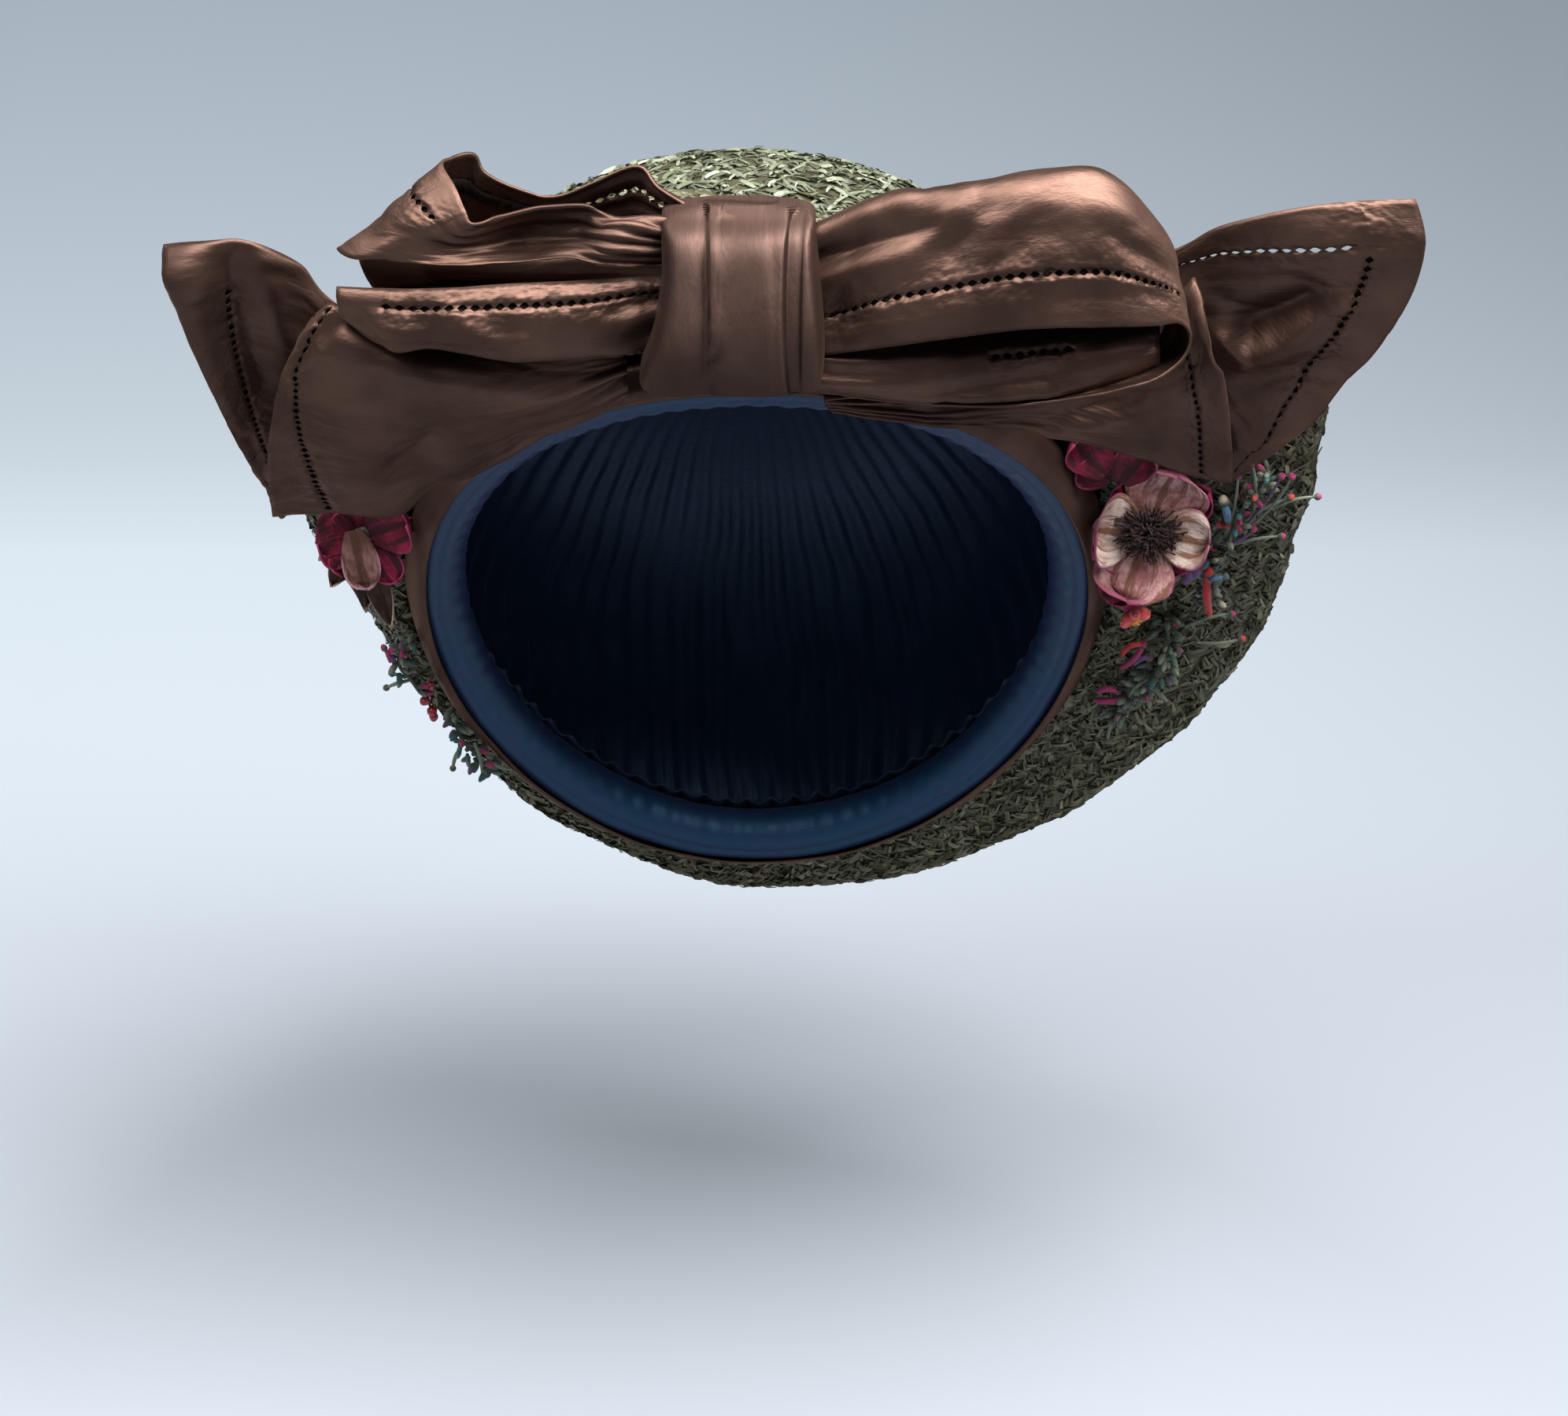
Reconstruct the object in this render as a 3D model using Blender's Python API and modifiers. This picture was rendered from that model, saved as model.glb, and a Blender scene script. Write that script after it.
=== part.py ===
# Straw toque with a satin bow, velvet flowers and a padded roll round the head opening.
# Lengths in the tables are in millimetres. +Z is up; the viewer stands on the -Y side.
# The hat is tilted back as it is worn; its own frame has y to the back and z through the crown.

import math
from collections import namedtuple

import bmesh
import bpy
from mathutils import Vector

mm = 0.001
tiltCos = 0.53
tiltSin = 0.848

# Driving sizes of the hat
rollHalfWidth = 87.0
rollHalfLength = 107.0
rollRadius = 7.4
frontDrop = 15.0
backDrop = 11.0
throatHalfWidth = 97.8
throatHalfLength = 117.8
throatRise = 3.2
crownHalfWidth = 101.0
crownHalfLength = 108.0
crownTop = 100.0
crownShift = -4.0
crownSquareness = 3.2
strawWall = 2.2
bandWall = 1.2
liningWall = 1.0
satinWall = 1.2
petalWall = 1.4
gap = 0.4
bandEase = 0.7

# Facets: turns round the hat, degrees from the middle of the crown to its foot for the straw
# and for the lining, steps across the brim, and sides of the roll, the knot and the sprigs
roundSteps = 40
crownSteps = (3, 9, 18, 29, 42, 56, 70, 81, 87, 90)
liningSteps = (9, 29, 42, 56, 70, 81)
brimSteps = 6
rollSides = 10
knotSides = 36
sprigSides = 8
spokesPerPetal = 5

# How far outside the roll's middle line the lining's gathered foot comes down
liningFoot = (7.0, 1.5, -4.0)
# Degrees round the roll that the satin band covers, from under it to its outer side
bandArc = (-70, -40, -8, 24)
# The brim reaches its full turn where this share of its width is left behind
brimBendShare = 0.45

# Brim round the hat: angle from the front towards the viewer's right, width of straw
# outside the crown, and how far it turns up from the plane of the opening, in degrees.
BrimRow = namedtuple("BrimRow", "angle width turn")
brimTable = (
    BrimRow(0, 38, 74),
    BrimRow(12, 32, 72),
    BrimRow(30, 30, 64),
    BrimRow(50, 46, 42),
    BrimRow(65, 64, 8),
    BrimRow(74, 56, 4),
    BrimRow(85, 48, 2),
    BrimRow(95, 45, 0),
    BrimRow(112, 39, -2),
    BrimRow(130, 32, -4),
    BrimRow(150, 26, -4),
    BrimRow(180, 22, 0),
    BrimRow(210, 18, 20),
    BrimRow(235, 16, 50),
    BrimRow(255, 20, 55),
    BrimRow(275, 32, 40),
    BrimRow(284, 38, 36),
    BrimRow(300, 42, 46),
    BrimRow(330, 40, 66),
    BrimRow(348, 42, 74),
)

# Satin pieces: each row is a section across the ribbon, from its front or upper edge
# through its middle to its other edge. Rows follow the ribbon; the upper left loop starts
# at the knot, turns at its left end and comes back behind itself.
Section = namedtuple("Section", "edge middle far")

leftUpperLoop = (
    Section((-22, -96, 130), (-22.4, -98, 127), (-23.4, -98, 120)),
    Section((-31, -98, 130.5), (-32, -103, 128.5), (-34, -103, 121.5)),
    Section((-36, -99, 133.5), (-37, -101, 128), (-39.5, -104, 122.5)),
    Section((-41, -101, 136), (-42.5, -97, 127), (-45, -105, 123.5)),
    Section((-54, -104, 135), (-56, -96, 126), (-58, -105, 122.5)),
    Section((-65.5, -104, 132), (-72, -103, 126.5), (-78, -105, 122.5)),
    Section((-68, -103, 135), (-80, -105, 130), (-88, -104, 123)),
    Section((-70.5, -100, 140), (-85, -102, 132), (-95.5, -101, 122.5)),
    Section((-74, -94, 144), (-88, -94, 132.5), (-100, -94, 123)),
    Section((-71.5, -88, 144), (-83, -85, 131), (-96, -86, 121)),
    Section((-67, -84, 143.5), (-73, -78, 129), (-82, -78, 117.5)),
    Section((-64, -84, 138.5), (-67, -77, 127), (-70, -75, 116)),
    Section((-50, -84, 133), (-50.5, -77, 124.5), (-51.5, -74, 116)),
    Section((-40, -84, 136), (-40, -77, 125.5), (-40.5, -74, 116.5)),
    Section((-28, -85, 141), (-29, -79, 128), (-30.5, -76, 117.5)),
    Section((-23, -88, 136.5), (-23.2, -83, 128.5), (-23.8, -80, 120)),
)
leftLowerLoop = (
    Section((-23, -97, 117), (-27, -98, 99), (-27, -80, 106)),
    Section((-41, -104, 118), (-44, -104, 98), (-44, -73, 109)),
    Section((-59, -107, 118), (-63, -107, 99), (-63, -72, 109)),
    Section((-74, -107, 117), (-77, -106, 101), (-77, -73, 108.5)),
    Section((-87, -104, 116), (-88, -102, 101), (-88, -75, 108)),
    Section((-99, -100, 115), (-98, -98, 108), (-98, -80, 108)),
)
leftLowerTail = (
    Section((-31, -90, 93), (-31, -92, 89), (-31, -84, 83)),
    Section((-49, -92, 92), (-49, -92, 83), (-50, -74, 69)),
    Section((-68, -92, 93), (-68, -94, 81), (-69, -62, 57)),
    Section((-84, -90, 95), (-84, -92, 82), (-84, -54, 52)),
    Section((-96, -92, 103), (-100, -90, 83), (-94, -48, 40)),
    Section((-101, -92, 108), (-113, -84, 82), (-111, -40, 36)),
    Section((-106, -90, 104), (-120, -76, 74), (-127, -34, 33)),
)
leftFarTail = (
    Section((-78, -54.5, 94), (-78, -53.5, 86), (-79, -50.5, 78)),
    Section((-103, -56.5, 97), (-103, -52.5, 84), (-103, -42.5, 61)),
    Section((-114, -64.5, 111), (-115, -56.5, 85), (-115, -20.5, 34)),
    Section((-125, -72.5, 119), (-129, -62.5, 87), (-124, -16.5, 28)),
    Section((-136, -74.5, 119), (-137, -68.5, 90), (-127, -14.5, 25)),
    Section((-145, -70.5, 117), (-139, -66.5, 86), (-129, -12.5, 25)),
)
rightLoop = (
    Section((17.6, -98, 98), (17.6, -94, 129), (17.6, -78, 99)),
    Section((30, -106, 102), (30, -97, 136), (30, -74, 91)),
    Section((45, -112, 106), (44, -100, 139), (44, -69, 88)),
    Section((64, -114, 109), (62, -99, 142), (62, -64, 84)),
    Section((83, -112, 109), (81, -97, 143), (81, -62, 84)),
    Section((95, -108, 108), (93, -94, 133), (93, -61, 89)),
    Section((102, -103, 107), (102, -89, 120), (102, -62, 94)),
    Section((105, -100, 102), (104, -84, 104), (103, -64, 96)),
    Section((102, -101, 96), (101, -84, 94), (100, -67, 91)),
    Section((91, -104, 92), (91, -86, 89), (91, -68, 88)),
    Section((65, -104, 90), (65, -87, 88), (65, -70, 87)),
    Section((37, -98, 89), (37, -87, 88), (37, -76, 87)),
    Section((17.6, -94, 89), (17.6, -89, 88.5), (17.6, -84, 88)),
)
rightLowerTail = (
    Section((17.5, -79.5, 81), (17.5, -77.5, 78.5), (20, -75.5, 75.5)),
    Section((38, -73.5, 80), (40, -73.5, 75), (44, -69.5, 70)),
    Section((66, -61.5, 79), (67, -60.5, 72), (70, -56.5, 65)),
    Section((89, -55.5, 79), (90, -55.5, 69), (92, -49.5, 56)),
    Section((103, -55.5, 85), (107, -57.5, 75), (111, -43.5, 48)),
    Section((109, -67.5, 108), (117, -69.5, 82), (124, -39.5, 44)),
)
rightFarTail = (
    Section((84, -50.5, 102.5), (84, -49.5, 95.5), (84, -48.5, 88.5)),
    Section((105, -52.5, 110.5), (106, -49.5, 91.5), (106, -46.5, 74.5)),
    Section((116, -58.5, 118.5), (118, -53.5, 91.5), (116, -40.5, 62.5)),
    Section((132, -64.5, 124.5), (136, -58.5, 95.5), (121, -34.5, 46.5)),
    Section((149, -64.5, 126.5), (150, -59.5, 97.5), (124, -31.5, 42.5)),
    Section((163, -62.5, 126.5), (160, -56.5, 90.5), (126, -28.5, 40.5)),
)
leafRows = (
    Section((-120, -13.5, 9), (-120, -15.5, 8), (-120, -13.5, 7)),
    Section((-113, -15.5, 7), (-114, -19.5, 3), (-115, -15.5, -1)),
    Section((-106, -11.5, 0), (-108, -15.5, -5), (-110, -11.5, -10)),
    Section((-102, -5.5, -8), (-103, -8.5, -13), (-107, -4.5, -17)),
    Section((-96.3, 3.5, -11), (-96.0, 4, -13), (-95.8, 5, -15)),
)

# The knot from its top to its bottom: height, its two sides, front and back
KnotRow = namedtuple("KnotRow", "z left right front back")
knotTable = (
    KnotRow(132, -21, 14, -100, -82),
    KnotRow(128, -22, 15, -108, -76),
    KnotRow(118, -22, 16, -112, -73.2),
    KnotRow(106, -24, 17, -114, -75.2),
    KnotRow(97, -27, 17, -112, -77.2),
    KnotRow(90, -27, 16, -106, -82),
    KnotRow(87, -20, 13, -98, -84),
)
knotValley = -9.0
knotValleyWidth = 3.0
knotValleyDepth = 6.0
knotRounding = 0.7

# Sprigs: points along the stem in the hat's own frame and the radius there
StemRow = namedtuple("StemRow", "x y z radius")
sprigTables = {
    "heather_right_upper": (
        StemRow(125, -23, -1.5, 2.5),
        StemRow(130, -32, -2.5, 4.5),
        StemRow(135, -41, -2.5, 4.5),
        StemRow(139, -49, -1.5, 3.5),
        StemRow(141, -55, -0.5, 1.5),
    ),
    "heather_right_middle": (
        StemRow(122, -13, -1, 2),
        StemRow(123, -7, -1.5, 3.2),
        StemRow(124, 1, -1.5, 3.2),
        StemRow(124, 8, -1, 1.5),
    ),
    "heather_right_lower": (
        StemRow(113, 12, -1.5, 2.5),
        StemRow(114, 23, -4, 5),
        StemRow(111, 35, -5, 5.5),
        StemRow(105, 45, -5.5, 4),
        StemRow(101, 52, -6.5, 2),
    ),
    "coral_blossom_right": (
        StemRow(96.2, -5, -4, 1.4),
        StemRow(100, -7, -8, 1.6),
        StemRow(103, -7, -12, 2.6),
        StemRow(104.5, -6, -15, 4.0),
    ),
    "heather_left_upper": (
        StemRow(-94.7, 20, -4, 1.6),
        StemRow(-100, 24, -7, 2.6),
        StemRow(-102, 30, -9, 3.5),
        StemRow(-98, 36, -11, 2.6),
        StemRow(-96, 41, -11, 1.5),
    ),
    "berries_left": (
        StemRow(-91.9, 36, -5, 1.4),
        StemRow(-93.0, 42, -8, 2.2),
        StemRow(-91.5, 48, -9, 1.6),
    ),
    "heather_left_lower": (
        StemRow(-86.8, 53, -5, 1.6),
        StemRow(-85, 62, -12, 4.5),
        StemRow(-80, 69, -13, 4.5),
        StemRow(-77, 76, -13, 2.5),
    ),
}

# Velvet flowers: centre in the hat's own frame, radius, petals, hollow, and part of a turn
FlowerRow = namedtuple("FlowerRow", "x y z radius petals cup start sweep")
flowerTable = {
    "anemone_right": FlowerRow(104, -31, -8.3, 18, 6, 5.0, 0, 360),
    "crimson_petals_right": FlowerRow(95, -51, -10, 15, 3, 3.0, 50, 115),
    "crimson_petals_left": FlowerRow(-104, -23.4, -7.1, 14, 5, 3.0, 0, 360),
    "pale_petals_left": FlowerRow(-104, -22.2, -10.3, 9, 2, 1.5, 30, 160),
}
petalRings = (0.12, 0.4, 0.7, 1.0)
petalNotch = 0.24
petalRoundness = 0.6

# The cushion of stamens in the anemone: its share of the flower's radius, how high it
# domes, its degrees from top to foot, and its sides
stamenShare = 0.42
stamenDome = 0.7
stamenFoot = 1.0
stamenSteps = (4, 25, 50, 75, 90)
stamenSides = 12

# Sprigs swell and narrow by turns like a string of buds
budSwell = 1.12
budPinch = 0.9

# Colour, roughness and metallic of each material
looks = {
    "straw": ((0.40, 0.47, 0.31), 0.5, 0.0),
    "blue silk": ((0.05, 0.09, 0.17), 0.4, 0.0),
    "lining silk": ((0.03, 0.05, 0.11), 0.5, 0.0),
    "brown satin": ((0.15, 0.09, 0.07), 0.35, 0.0),
    "pale velvet": ((0.62, 0.42, 0.38), 0.8, 0.0),
    "crimson velvet": ((0.30, 0.03, 0.05), 0.8, 0.0),
    "dark stamens": ((0.08, 0.02, 0.04), 0.8, 0.0),
    "brown velvet": ((0.20, 0.12, 0.08), 0.8, 0.0),
    "coral velvet": ((0.70, 0.16, 0.12), 0.8, 0.0),
    "heather": ((0.20, 0.24, 0.18), 0.8, 0.0),
    "red berries": ((0.45, 0.03, 0.03), 0.5, 0.0),
}


def hatPoint(x, y, z):
    return Vector((x, y * tiltCos + z * tiltSin, z * tiltCos - y * tiltSin)) * mm


def worldPoint(values):
    return Vector(values) * mm


def ringPoint(turn, halfWidth, halfLength, out):
    """A point of an oval round the opening, moved out along its own normal."""
    normal = Vector((math.sin(turn) * halfLength, -math.cos(turn) * halfWidth))
    normal.normalize()
    x = halfWidth * math.sin(turn) + normal.x * out
    y = -halfLength * math.cos(turn) + normal.y * out
    return x, y


def ringDrop(turn):
    drop = frontDrop if math.cos(turn) > 0 else backDrop
    return -drop * math.cos(turn) ** 2


def brimAt(turn):
    """Width and turn of the brim at an angle, eased between the rows of its table."""
    angle = math.degrees(turn) % 360
    rows = brimTable + (brimTable[0]._replace(angle=360),)
    for first, second in zip(rows, rows[1:]):
        if angle <= second.angle:
            part = (angle - first.angle) / (second.angle - first.angle)
            part = part * part * (3 - 2 * part)
            width = first.width + (second.width - first.width) * part
            return width, math.radians(first.turn + (second.turn - first.turn) * part)


def smoothRows(rows, steps):
    """Rows between the given ones on a Catmull-Rom curve through them."""
    found = []
    for i in range(len(rows) - 1):
        before = rows[max(i - 1, 0)]
        after = rows[min(i + 2, len(rows) - 1)]
        for step in range(steps):
            t = step / steps
            weights = (
                (-t + 2 * t**2 - t**3) / 2,
                (2 - 5 * t**2 + 3 * t**3) / 2,
                (t + 4 * t**2 - 3 * t**3) / 2,
                (t**3 - t**2) / 2,
            )
            sources = (before, rows[i], rows[i + 1], after)
            found.append(
                [
                    sum((p * w for p, w in zip(points, weights)), Vector((0, 0, 0)))
                    for points in zip(*sources)
                ]
            )
    found.append(list(rows[-1]))
    return found


def acrossSection(section, steps):
    """Points along the parabola through the three points of a section."""
    a, b, c = section
    found = []
    for step in range(steps + 1):
        t = step / steps
        found.append(a * (1 - t) * (1 - 2 * t) + b * 4 * t * (1 - t) + c * t * (2 * t - 1))
    return found


def material(name):
    colour, roughness, metallic = looks[name]
    made = bpy.data.materials.get(name)
    if made is None:
        made = bpy.data.materials.new(name)
        made.use_nodes = True
        shader = made.node_tree.nodes["Principled BSDF"]
        shader.inputs["Base Color"].default_value = (*colour, 1)
        shader.inputs["Roughness"].default_value = roughness
        shader.inputs["Metallic"].default_value = metallic
    return made


def meshObject(name, verts, faces, look):
    mesh = bpy.data.meshes.new(name)
    mesh.from_pydata(verts, [], faces)
    edit = bmesh.new()
    edit.from_mesh(mesh)
    bmesh.ops.remove_doubles(edit, verts=edit.verts, dist=1e-6)
    bmesh.ops.recalc_face_normals(edit, faces=edit.faces)
    edit.to_mesh(mesh)
    edit.free()
    for face in mesh.polygons:
        face.use_smooth = True
    mesh.materials.append(material(look))
    made = bpy.data.objects.new(name, mesh)
    pieces.objects.link(made)
    return made


def gridFaces(rows, columns, roundRows, roundColumns):
    faces = []
    for i in range(rows if roundRows else rows - 1):
        for j in range(columns if roundColumns else columns - 1):
            k = (i + 1) % rows
            m = (j + 1) % columns
            faces.append((i * columns + j, k * columns + j, k * columns + m, i * columns + m))
    return faces


def thickened(made, wall):
    solid = made.modifiers.new("wall", "SOLIDIFY")
    solid.thickness = wall * mm
    solid.offset = 0.0
    solid.use_even_offset = True
    solid.use_rim = True
    return made


def sheet(name, rows, steps, across, wall, look):
    """A ribbon or leaf through a table of sections."""
    points = [[worldPoint(p) for p in row] for row in rows]
    grid = [acrossSection(row, across) for row in smoothRows(points, steps)]
    verts = [point for row in grid for point in row]
    faces = gridFaces(len(grid), across + 1, False, False)
    return thickened(meshObject(name, verts, faces, look), wall)


def closedBody(name, rings, look):
    """A solid through closed rings, its ends filled."""
    columns = len(rings[0])
    verts = [point for ring in rings for point in ring]
    faces = gridFaces(len(rings), columns, False, True)
    faces.append(tuple(range(columns)))
    last = (len(rings) - 1) * columns
    faces.append(tuple(last + j for j in range(columns)))
    return meshObject(name, verts, faces, look)


def crownPoint(turn, lean, inset):
    """A point of the crown: lean runs from nothing at its middle to a quarter turn at its foot."""
    throatX, throatY = ringPoint(turn, throatHalfWidth, throatHalfLength, -inset)
    sideX, sideY = ringPoint(turn, crownHalfWidth, crownHalfLength, -inset)
    out = math.sin(lean) ** (2 / crownSquareness)
    up = max(0.0, math.cos(lean)) ** (2 / crownSquareness)
    flare = (1 - up) ** 2
    x = (sideX + (throatX - sideX) * flare) * out + crownShift * up
    y = (sideY + (throatY - sideY) * flare) * out
    z = throatRise + (crownTop - inset - throatRise) * up + ringDrop(turn) * (1 - up) * out
    return x, y, z


def strawProfile(turn):
    """Points of the straw from the middle of the crown down and out to the brim's rim."""
    points = [crownPoint(turn, math.radians(degrees), 0) for degrees in crownSteps]
    width, turnUp = brimAt(turn)
    base = throatRise + ringDrop(turn)
    out = 0.0
    up = 0.0
    for step in range(brimSteps):
        part = (step + 0.5) / brimSteps
        heading = turnUp * min(1.0, part / brimBendShare)
        out += math.cos(heading) * width / brimSteps
        up += math.sin(heading) * width / brimSteps
        x, y = ringPoint(turn, throatHalfWidth, throatHalfLength, out)
        points.append((x, y, base + up))
    return points


def cappedShell(name, profiles, top, wall, look):
    """A shell of revolution-like profiles round the crown, closed by a fan at its middle."""
    columns = len(profiles[0])
    verts = [hatPoint(*point) for profile in profiles for point in profile]
    faces = gridFaces(len(profiles), columns, True, False)
    verts.append(hatPoint(crownShift, 0, top))
    for i in range(len(profiles)):
        faces.append((len(verts) - 1, ((i + 1) % len(profiles)) * columns, i * columns))
    thickened(meshObject(name, verts, faces, look), wall)


def strawBody():
    turns = [2 * math.pi * i / roundSteps for i in range(roundSteps)]
    profiles = [strawProfile(turn) for turn in turns]
    cappedShell("straw_body", profiles, crownTop, strawWall, "straw")


def headLining():
    """Lining inside the crown, drawn in at its foot to the top of the roll."""
    inset = strawWall / 2 + liningWall / 2 + gap
    foot = rollRadius + liningWall / 2 + gap
    profiles = []
    for i in range(roundSteps):
        turn = 2 * math.pi * i / roundSteps
        profile = [crownPoint(turn, math.radians(degrees), inset) for degrees in liningSteps]
        for drawn in liningFoot:
            x, y = ringPoint(turn, rollHalfWidth, rollHalfLength, drawn)
            profile.append((x, y, ringDrop(turn) + foot + max(0.0, drawn) / 2))
        profiles.append(profile)
    cappedShell("head_lining", profiles, crownTop - inset, liningWall, "lining silk")



def bandeauRoll():
    verts = []
    for i in range(roundSteps):
        turn = 2 * math.pi * i / roundSteps
        for j in range(rollSides):
            around = 2 * math.pi * j / rollSides
            x, y = ringPoint(turn, rollHalfWidth, rollHalfLength, rollRadius * math.cos(around))
            verts.append(hatPoint(x, y, ringDrop(turn) + rollRadius * math.sin(around)))
    faces = gridFaces(roundSteps, rollSides, True, True)
    meshObject("bandeau_roll", verts, faces, "blue silk")


def satinBand():
    """Satin round the outside of the roll."""
    radius = rollRadius + bandEase + bandWall / 2
    verts = []
    for i in range(roundSteps):
        turn = 2 * math.pi * i / roundSteps
        for degrees in bandArc:
            around = math.radians(degrees)
            x, y = ringPoint(turn, rollHalfWidth, rollHalfLength, radius * math.cos(around))
            verts.append(hatPoint(x, y, ringDrop(turn) + radius * math.sin(around)))
    faces = gridFaces(roundSteps, len(bandArc), True, False)
    thickened(meshObject("satin_band", verts, faces, "brown satin"), bandWall)


def rounded(value):
    """A cosine or sine drawn out, for a section between an oval and a box."""
    return math.copysign(abs(value) ** knotRounding, value)


def bowKnot():
    """Two pleats of satin with a valley between them."""
    rings = []
    for row in knotTable:
        midX = (row.left + row.right) / 2
        midY = (row.front + row.back) / 2
        ring = []
        for j in range(knotSides):
            around = 2 * math.pi * j / knotSides
            x = midX + (row.right - row.left) / 2 * rounded(math.cos(around))
            y = midY + (row.back - row.front) / 2 * rounded(math.sin(around))
            if math.sin(around) < 0:
                near = math.exp(-(((x - knotValley) / knotValleyWidth) ** 2))
                y += knotValleyDepth * near
            ring.append(worldPoint((x, y, row.z)))
        rings.append(ring)
    closedBody("bow_knot", rings, "brown satin")


def flower(name, look):
    """Petals as one dished sheet facing the viewer, lobed round its rim."""
    row = flowerTable[name]
    centre = hatPoint(row.x, row.y, row.z)
    whole = row.sweep == 360
    spokes = spokesPerPetal * row.petals + (0 if whole else 1)
    verts = []
    for i in range(spokes):
        part = i / (spokes if whole else spokes - 1)
        angle = math.radians(row.start + row.sweep * part)
        lobe = abs(math.sin(math.pi * row.petals * part)) ** petalRoundness
        for ring in petalRings:
            radius = row.radius * ring * (1 - petalNotch * (1 - lobe) * ring)
            depth = row.cup * ring**2 * (0.7 + 0.5 * lobe)
            offset = Vector((radius * math.cos(angle), -depth, radius * math.sin(angle)))
            verts.append(centre + offset * mm)
    faces = gridFaces(spokes, len(petalRings), whole, False)
    if whole:
        verts.append(centre)
        for i in range(spokes):
            k = (i + 1) % spokes
            faces.append((len(verts) - 1, k * len(petalRings), i * len(petalRings)))
    thickened(meshObject(name, verts, faces, look), petalWall)


def stamens():
    row = flowerTable["anemone_right"]
    centre = hatPoint(row.x, row.y, row.z)
    radius = row.radius * stamenShare
    rings = []
    for degrees in stamenSteps:
        lean = math.radians(degrees)
        out = radius * math.sin(lean)
        lift = petalWall / 2 + gap + stamenFoot + radius * stamenDome * math.cos(lean)
        ring = []
        for j in range(stamenSides):
            around = 2 * math.pi * j / stamenSides
            offset = Vector((out * math.cos(around), -lift, out * math.sin(around)))
            ring.append(centre + offset * mm)
        rings.append(ring)
    closedBody("anemone_right_centre", rings, "dark stamens")


def sprig(name, look):
    """A knobbly tapered stem of small buds."""
    points = [[Vector((r.x, r.y, r.z)), Vector((r.radius, 0, 0))] for r in sprigTables[name]]
    stations = smoothRows(points, 2)
    rings = []
    for i, (centre, size) in enumerate(stations):
        before = stations[max(i - 1, 0)][0]
        after = stations[min(i + 1, len(stations) - 1)][0]
        ahead = (after - before).normalized()
        side = ahead.cross(Vector((0, 0, 1))).normalized()
        up = side.cross(ahead)
        radius = size.x * (budSwell if i % 2 else budPinch)
        ring = []
        for j in range(sprigSides):
            around = 2 * math.pi * (j + 0.5 * (i % 2)) / sprigSides
            point = centre + (side * math.cos(around) + up * math.sin(around)) * radius
            ring.append(hatPoint(*point))
        rings.append(ring)
    closedBody(name, rings, look)


for old in list(bpy.data.objects):
    bpy.data.objects.remove(old, do_unlink=True)
pieces = bpy.data.collections.new("straw_toque")
bpy.context.scene.collection.children.link(pieces)

strawBody()
headLining()
bandeauRoll()
satinBand()

bowKnot()
sheet("bow_loop_left_upper", leftUpperLoop, 2, 4, satinWall, "brown satin")
sheet("bow_loop_left_lower", leftLowerLoop, 3, 8, satinWall, "brown satin")
sheet("bow_loop_right", rightLoop, 2, 7, satinWall, "brown satin")
sheet("bow_tail_left_lower", leftLowerTail, 2, 8, satinWall, "brown satin")
sheet("bow_tail_left_far", leftFarTail, 2, 8, satinWall, "brown satin")
sheet("bow_tail_right_lower", rightLowerTail, 2, 8, satinWall, "brown satin")
sheet("bow_tail_right_far", rightFarTail, 2, 8, satinWall, "brown satin")

flower("anemone_right", "pale velvet")
stamens()
flower("crimson_petals_right", "crimson velvet")
flower("crimson_petals_left", "crimson velvet")
flower("pale_petals_left", "pale velvet")
sheet("leaf_left", leafRows, 2, 4, petalWall, "brown velvet")
sprig("coral_blossom_right", "coral velvet")
sprig("berries_left", "red berries")
for place in ("right_upper", "right_middle", "right_lower", "left_upper", "left_lower"):
    sprig("heather_" + place, "heather")
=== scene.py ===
# Straw toque with a satin bow, velvet flowers and a padded silk roll, dressed over its frame.
# Lengths in the tables are in millimetres; +Z is up, the bow faces -Y and right means +X.

import math
from collections import namedtuple

import bpy
import numpy as np
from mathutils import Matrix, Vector, noise


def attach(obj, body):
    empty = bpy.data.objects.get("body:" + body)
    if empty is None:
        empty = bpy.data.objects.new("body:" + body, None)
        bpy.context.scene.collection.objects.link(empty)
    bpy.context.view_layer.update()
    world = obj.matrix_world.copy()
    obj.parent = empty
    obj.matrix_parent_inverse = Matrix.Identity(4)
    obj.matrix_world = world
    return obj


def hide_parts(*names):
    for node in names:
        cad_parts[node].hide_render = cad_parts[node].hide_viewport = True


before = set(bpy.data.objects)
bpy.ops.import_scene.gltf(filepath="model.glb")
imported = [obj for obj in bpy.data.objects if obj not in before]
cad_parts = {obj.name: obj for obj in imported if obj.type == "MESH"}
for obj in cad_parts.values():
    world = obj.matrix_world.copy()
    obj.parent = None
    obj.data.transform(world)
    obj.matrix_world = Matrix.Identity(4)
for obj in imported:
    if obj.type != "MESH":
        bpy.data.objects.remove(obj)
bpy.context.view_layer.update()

mm = 0.001
tiltCos = 0.53   # the hat's own frame is tipped back by this cosine and sine
tiltSin = 0.848
viewUp = (0.3891, 0.9212)   # the picture plane's up direction, in y and z
rng = np.random.default_rng(7)


def hatToWorld(points):
    x, y, z = points[..., 0], points[..., 1], points[..., 2]
    return np.stack((x, y * tiltCos + z * tiltSin, z * tiltCos - y * tiltSin), -1)


def namedRows(names, **extra):
    # gives a maker of tables, whose rows are plain tuples with these names for their values
    kind = namedtuple("row", names, **extra)
    return lambda *rows: [kind(*row) for row in rows]


def unit(vectors):
    return vectors / np.maximum(np.linalg.norm(vectors, axis=-1, keepdims=True), 1e-9)


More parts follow.
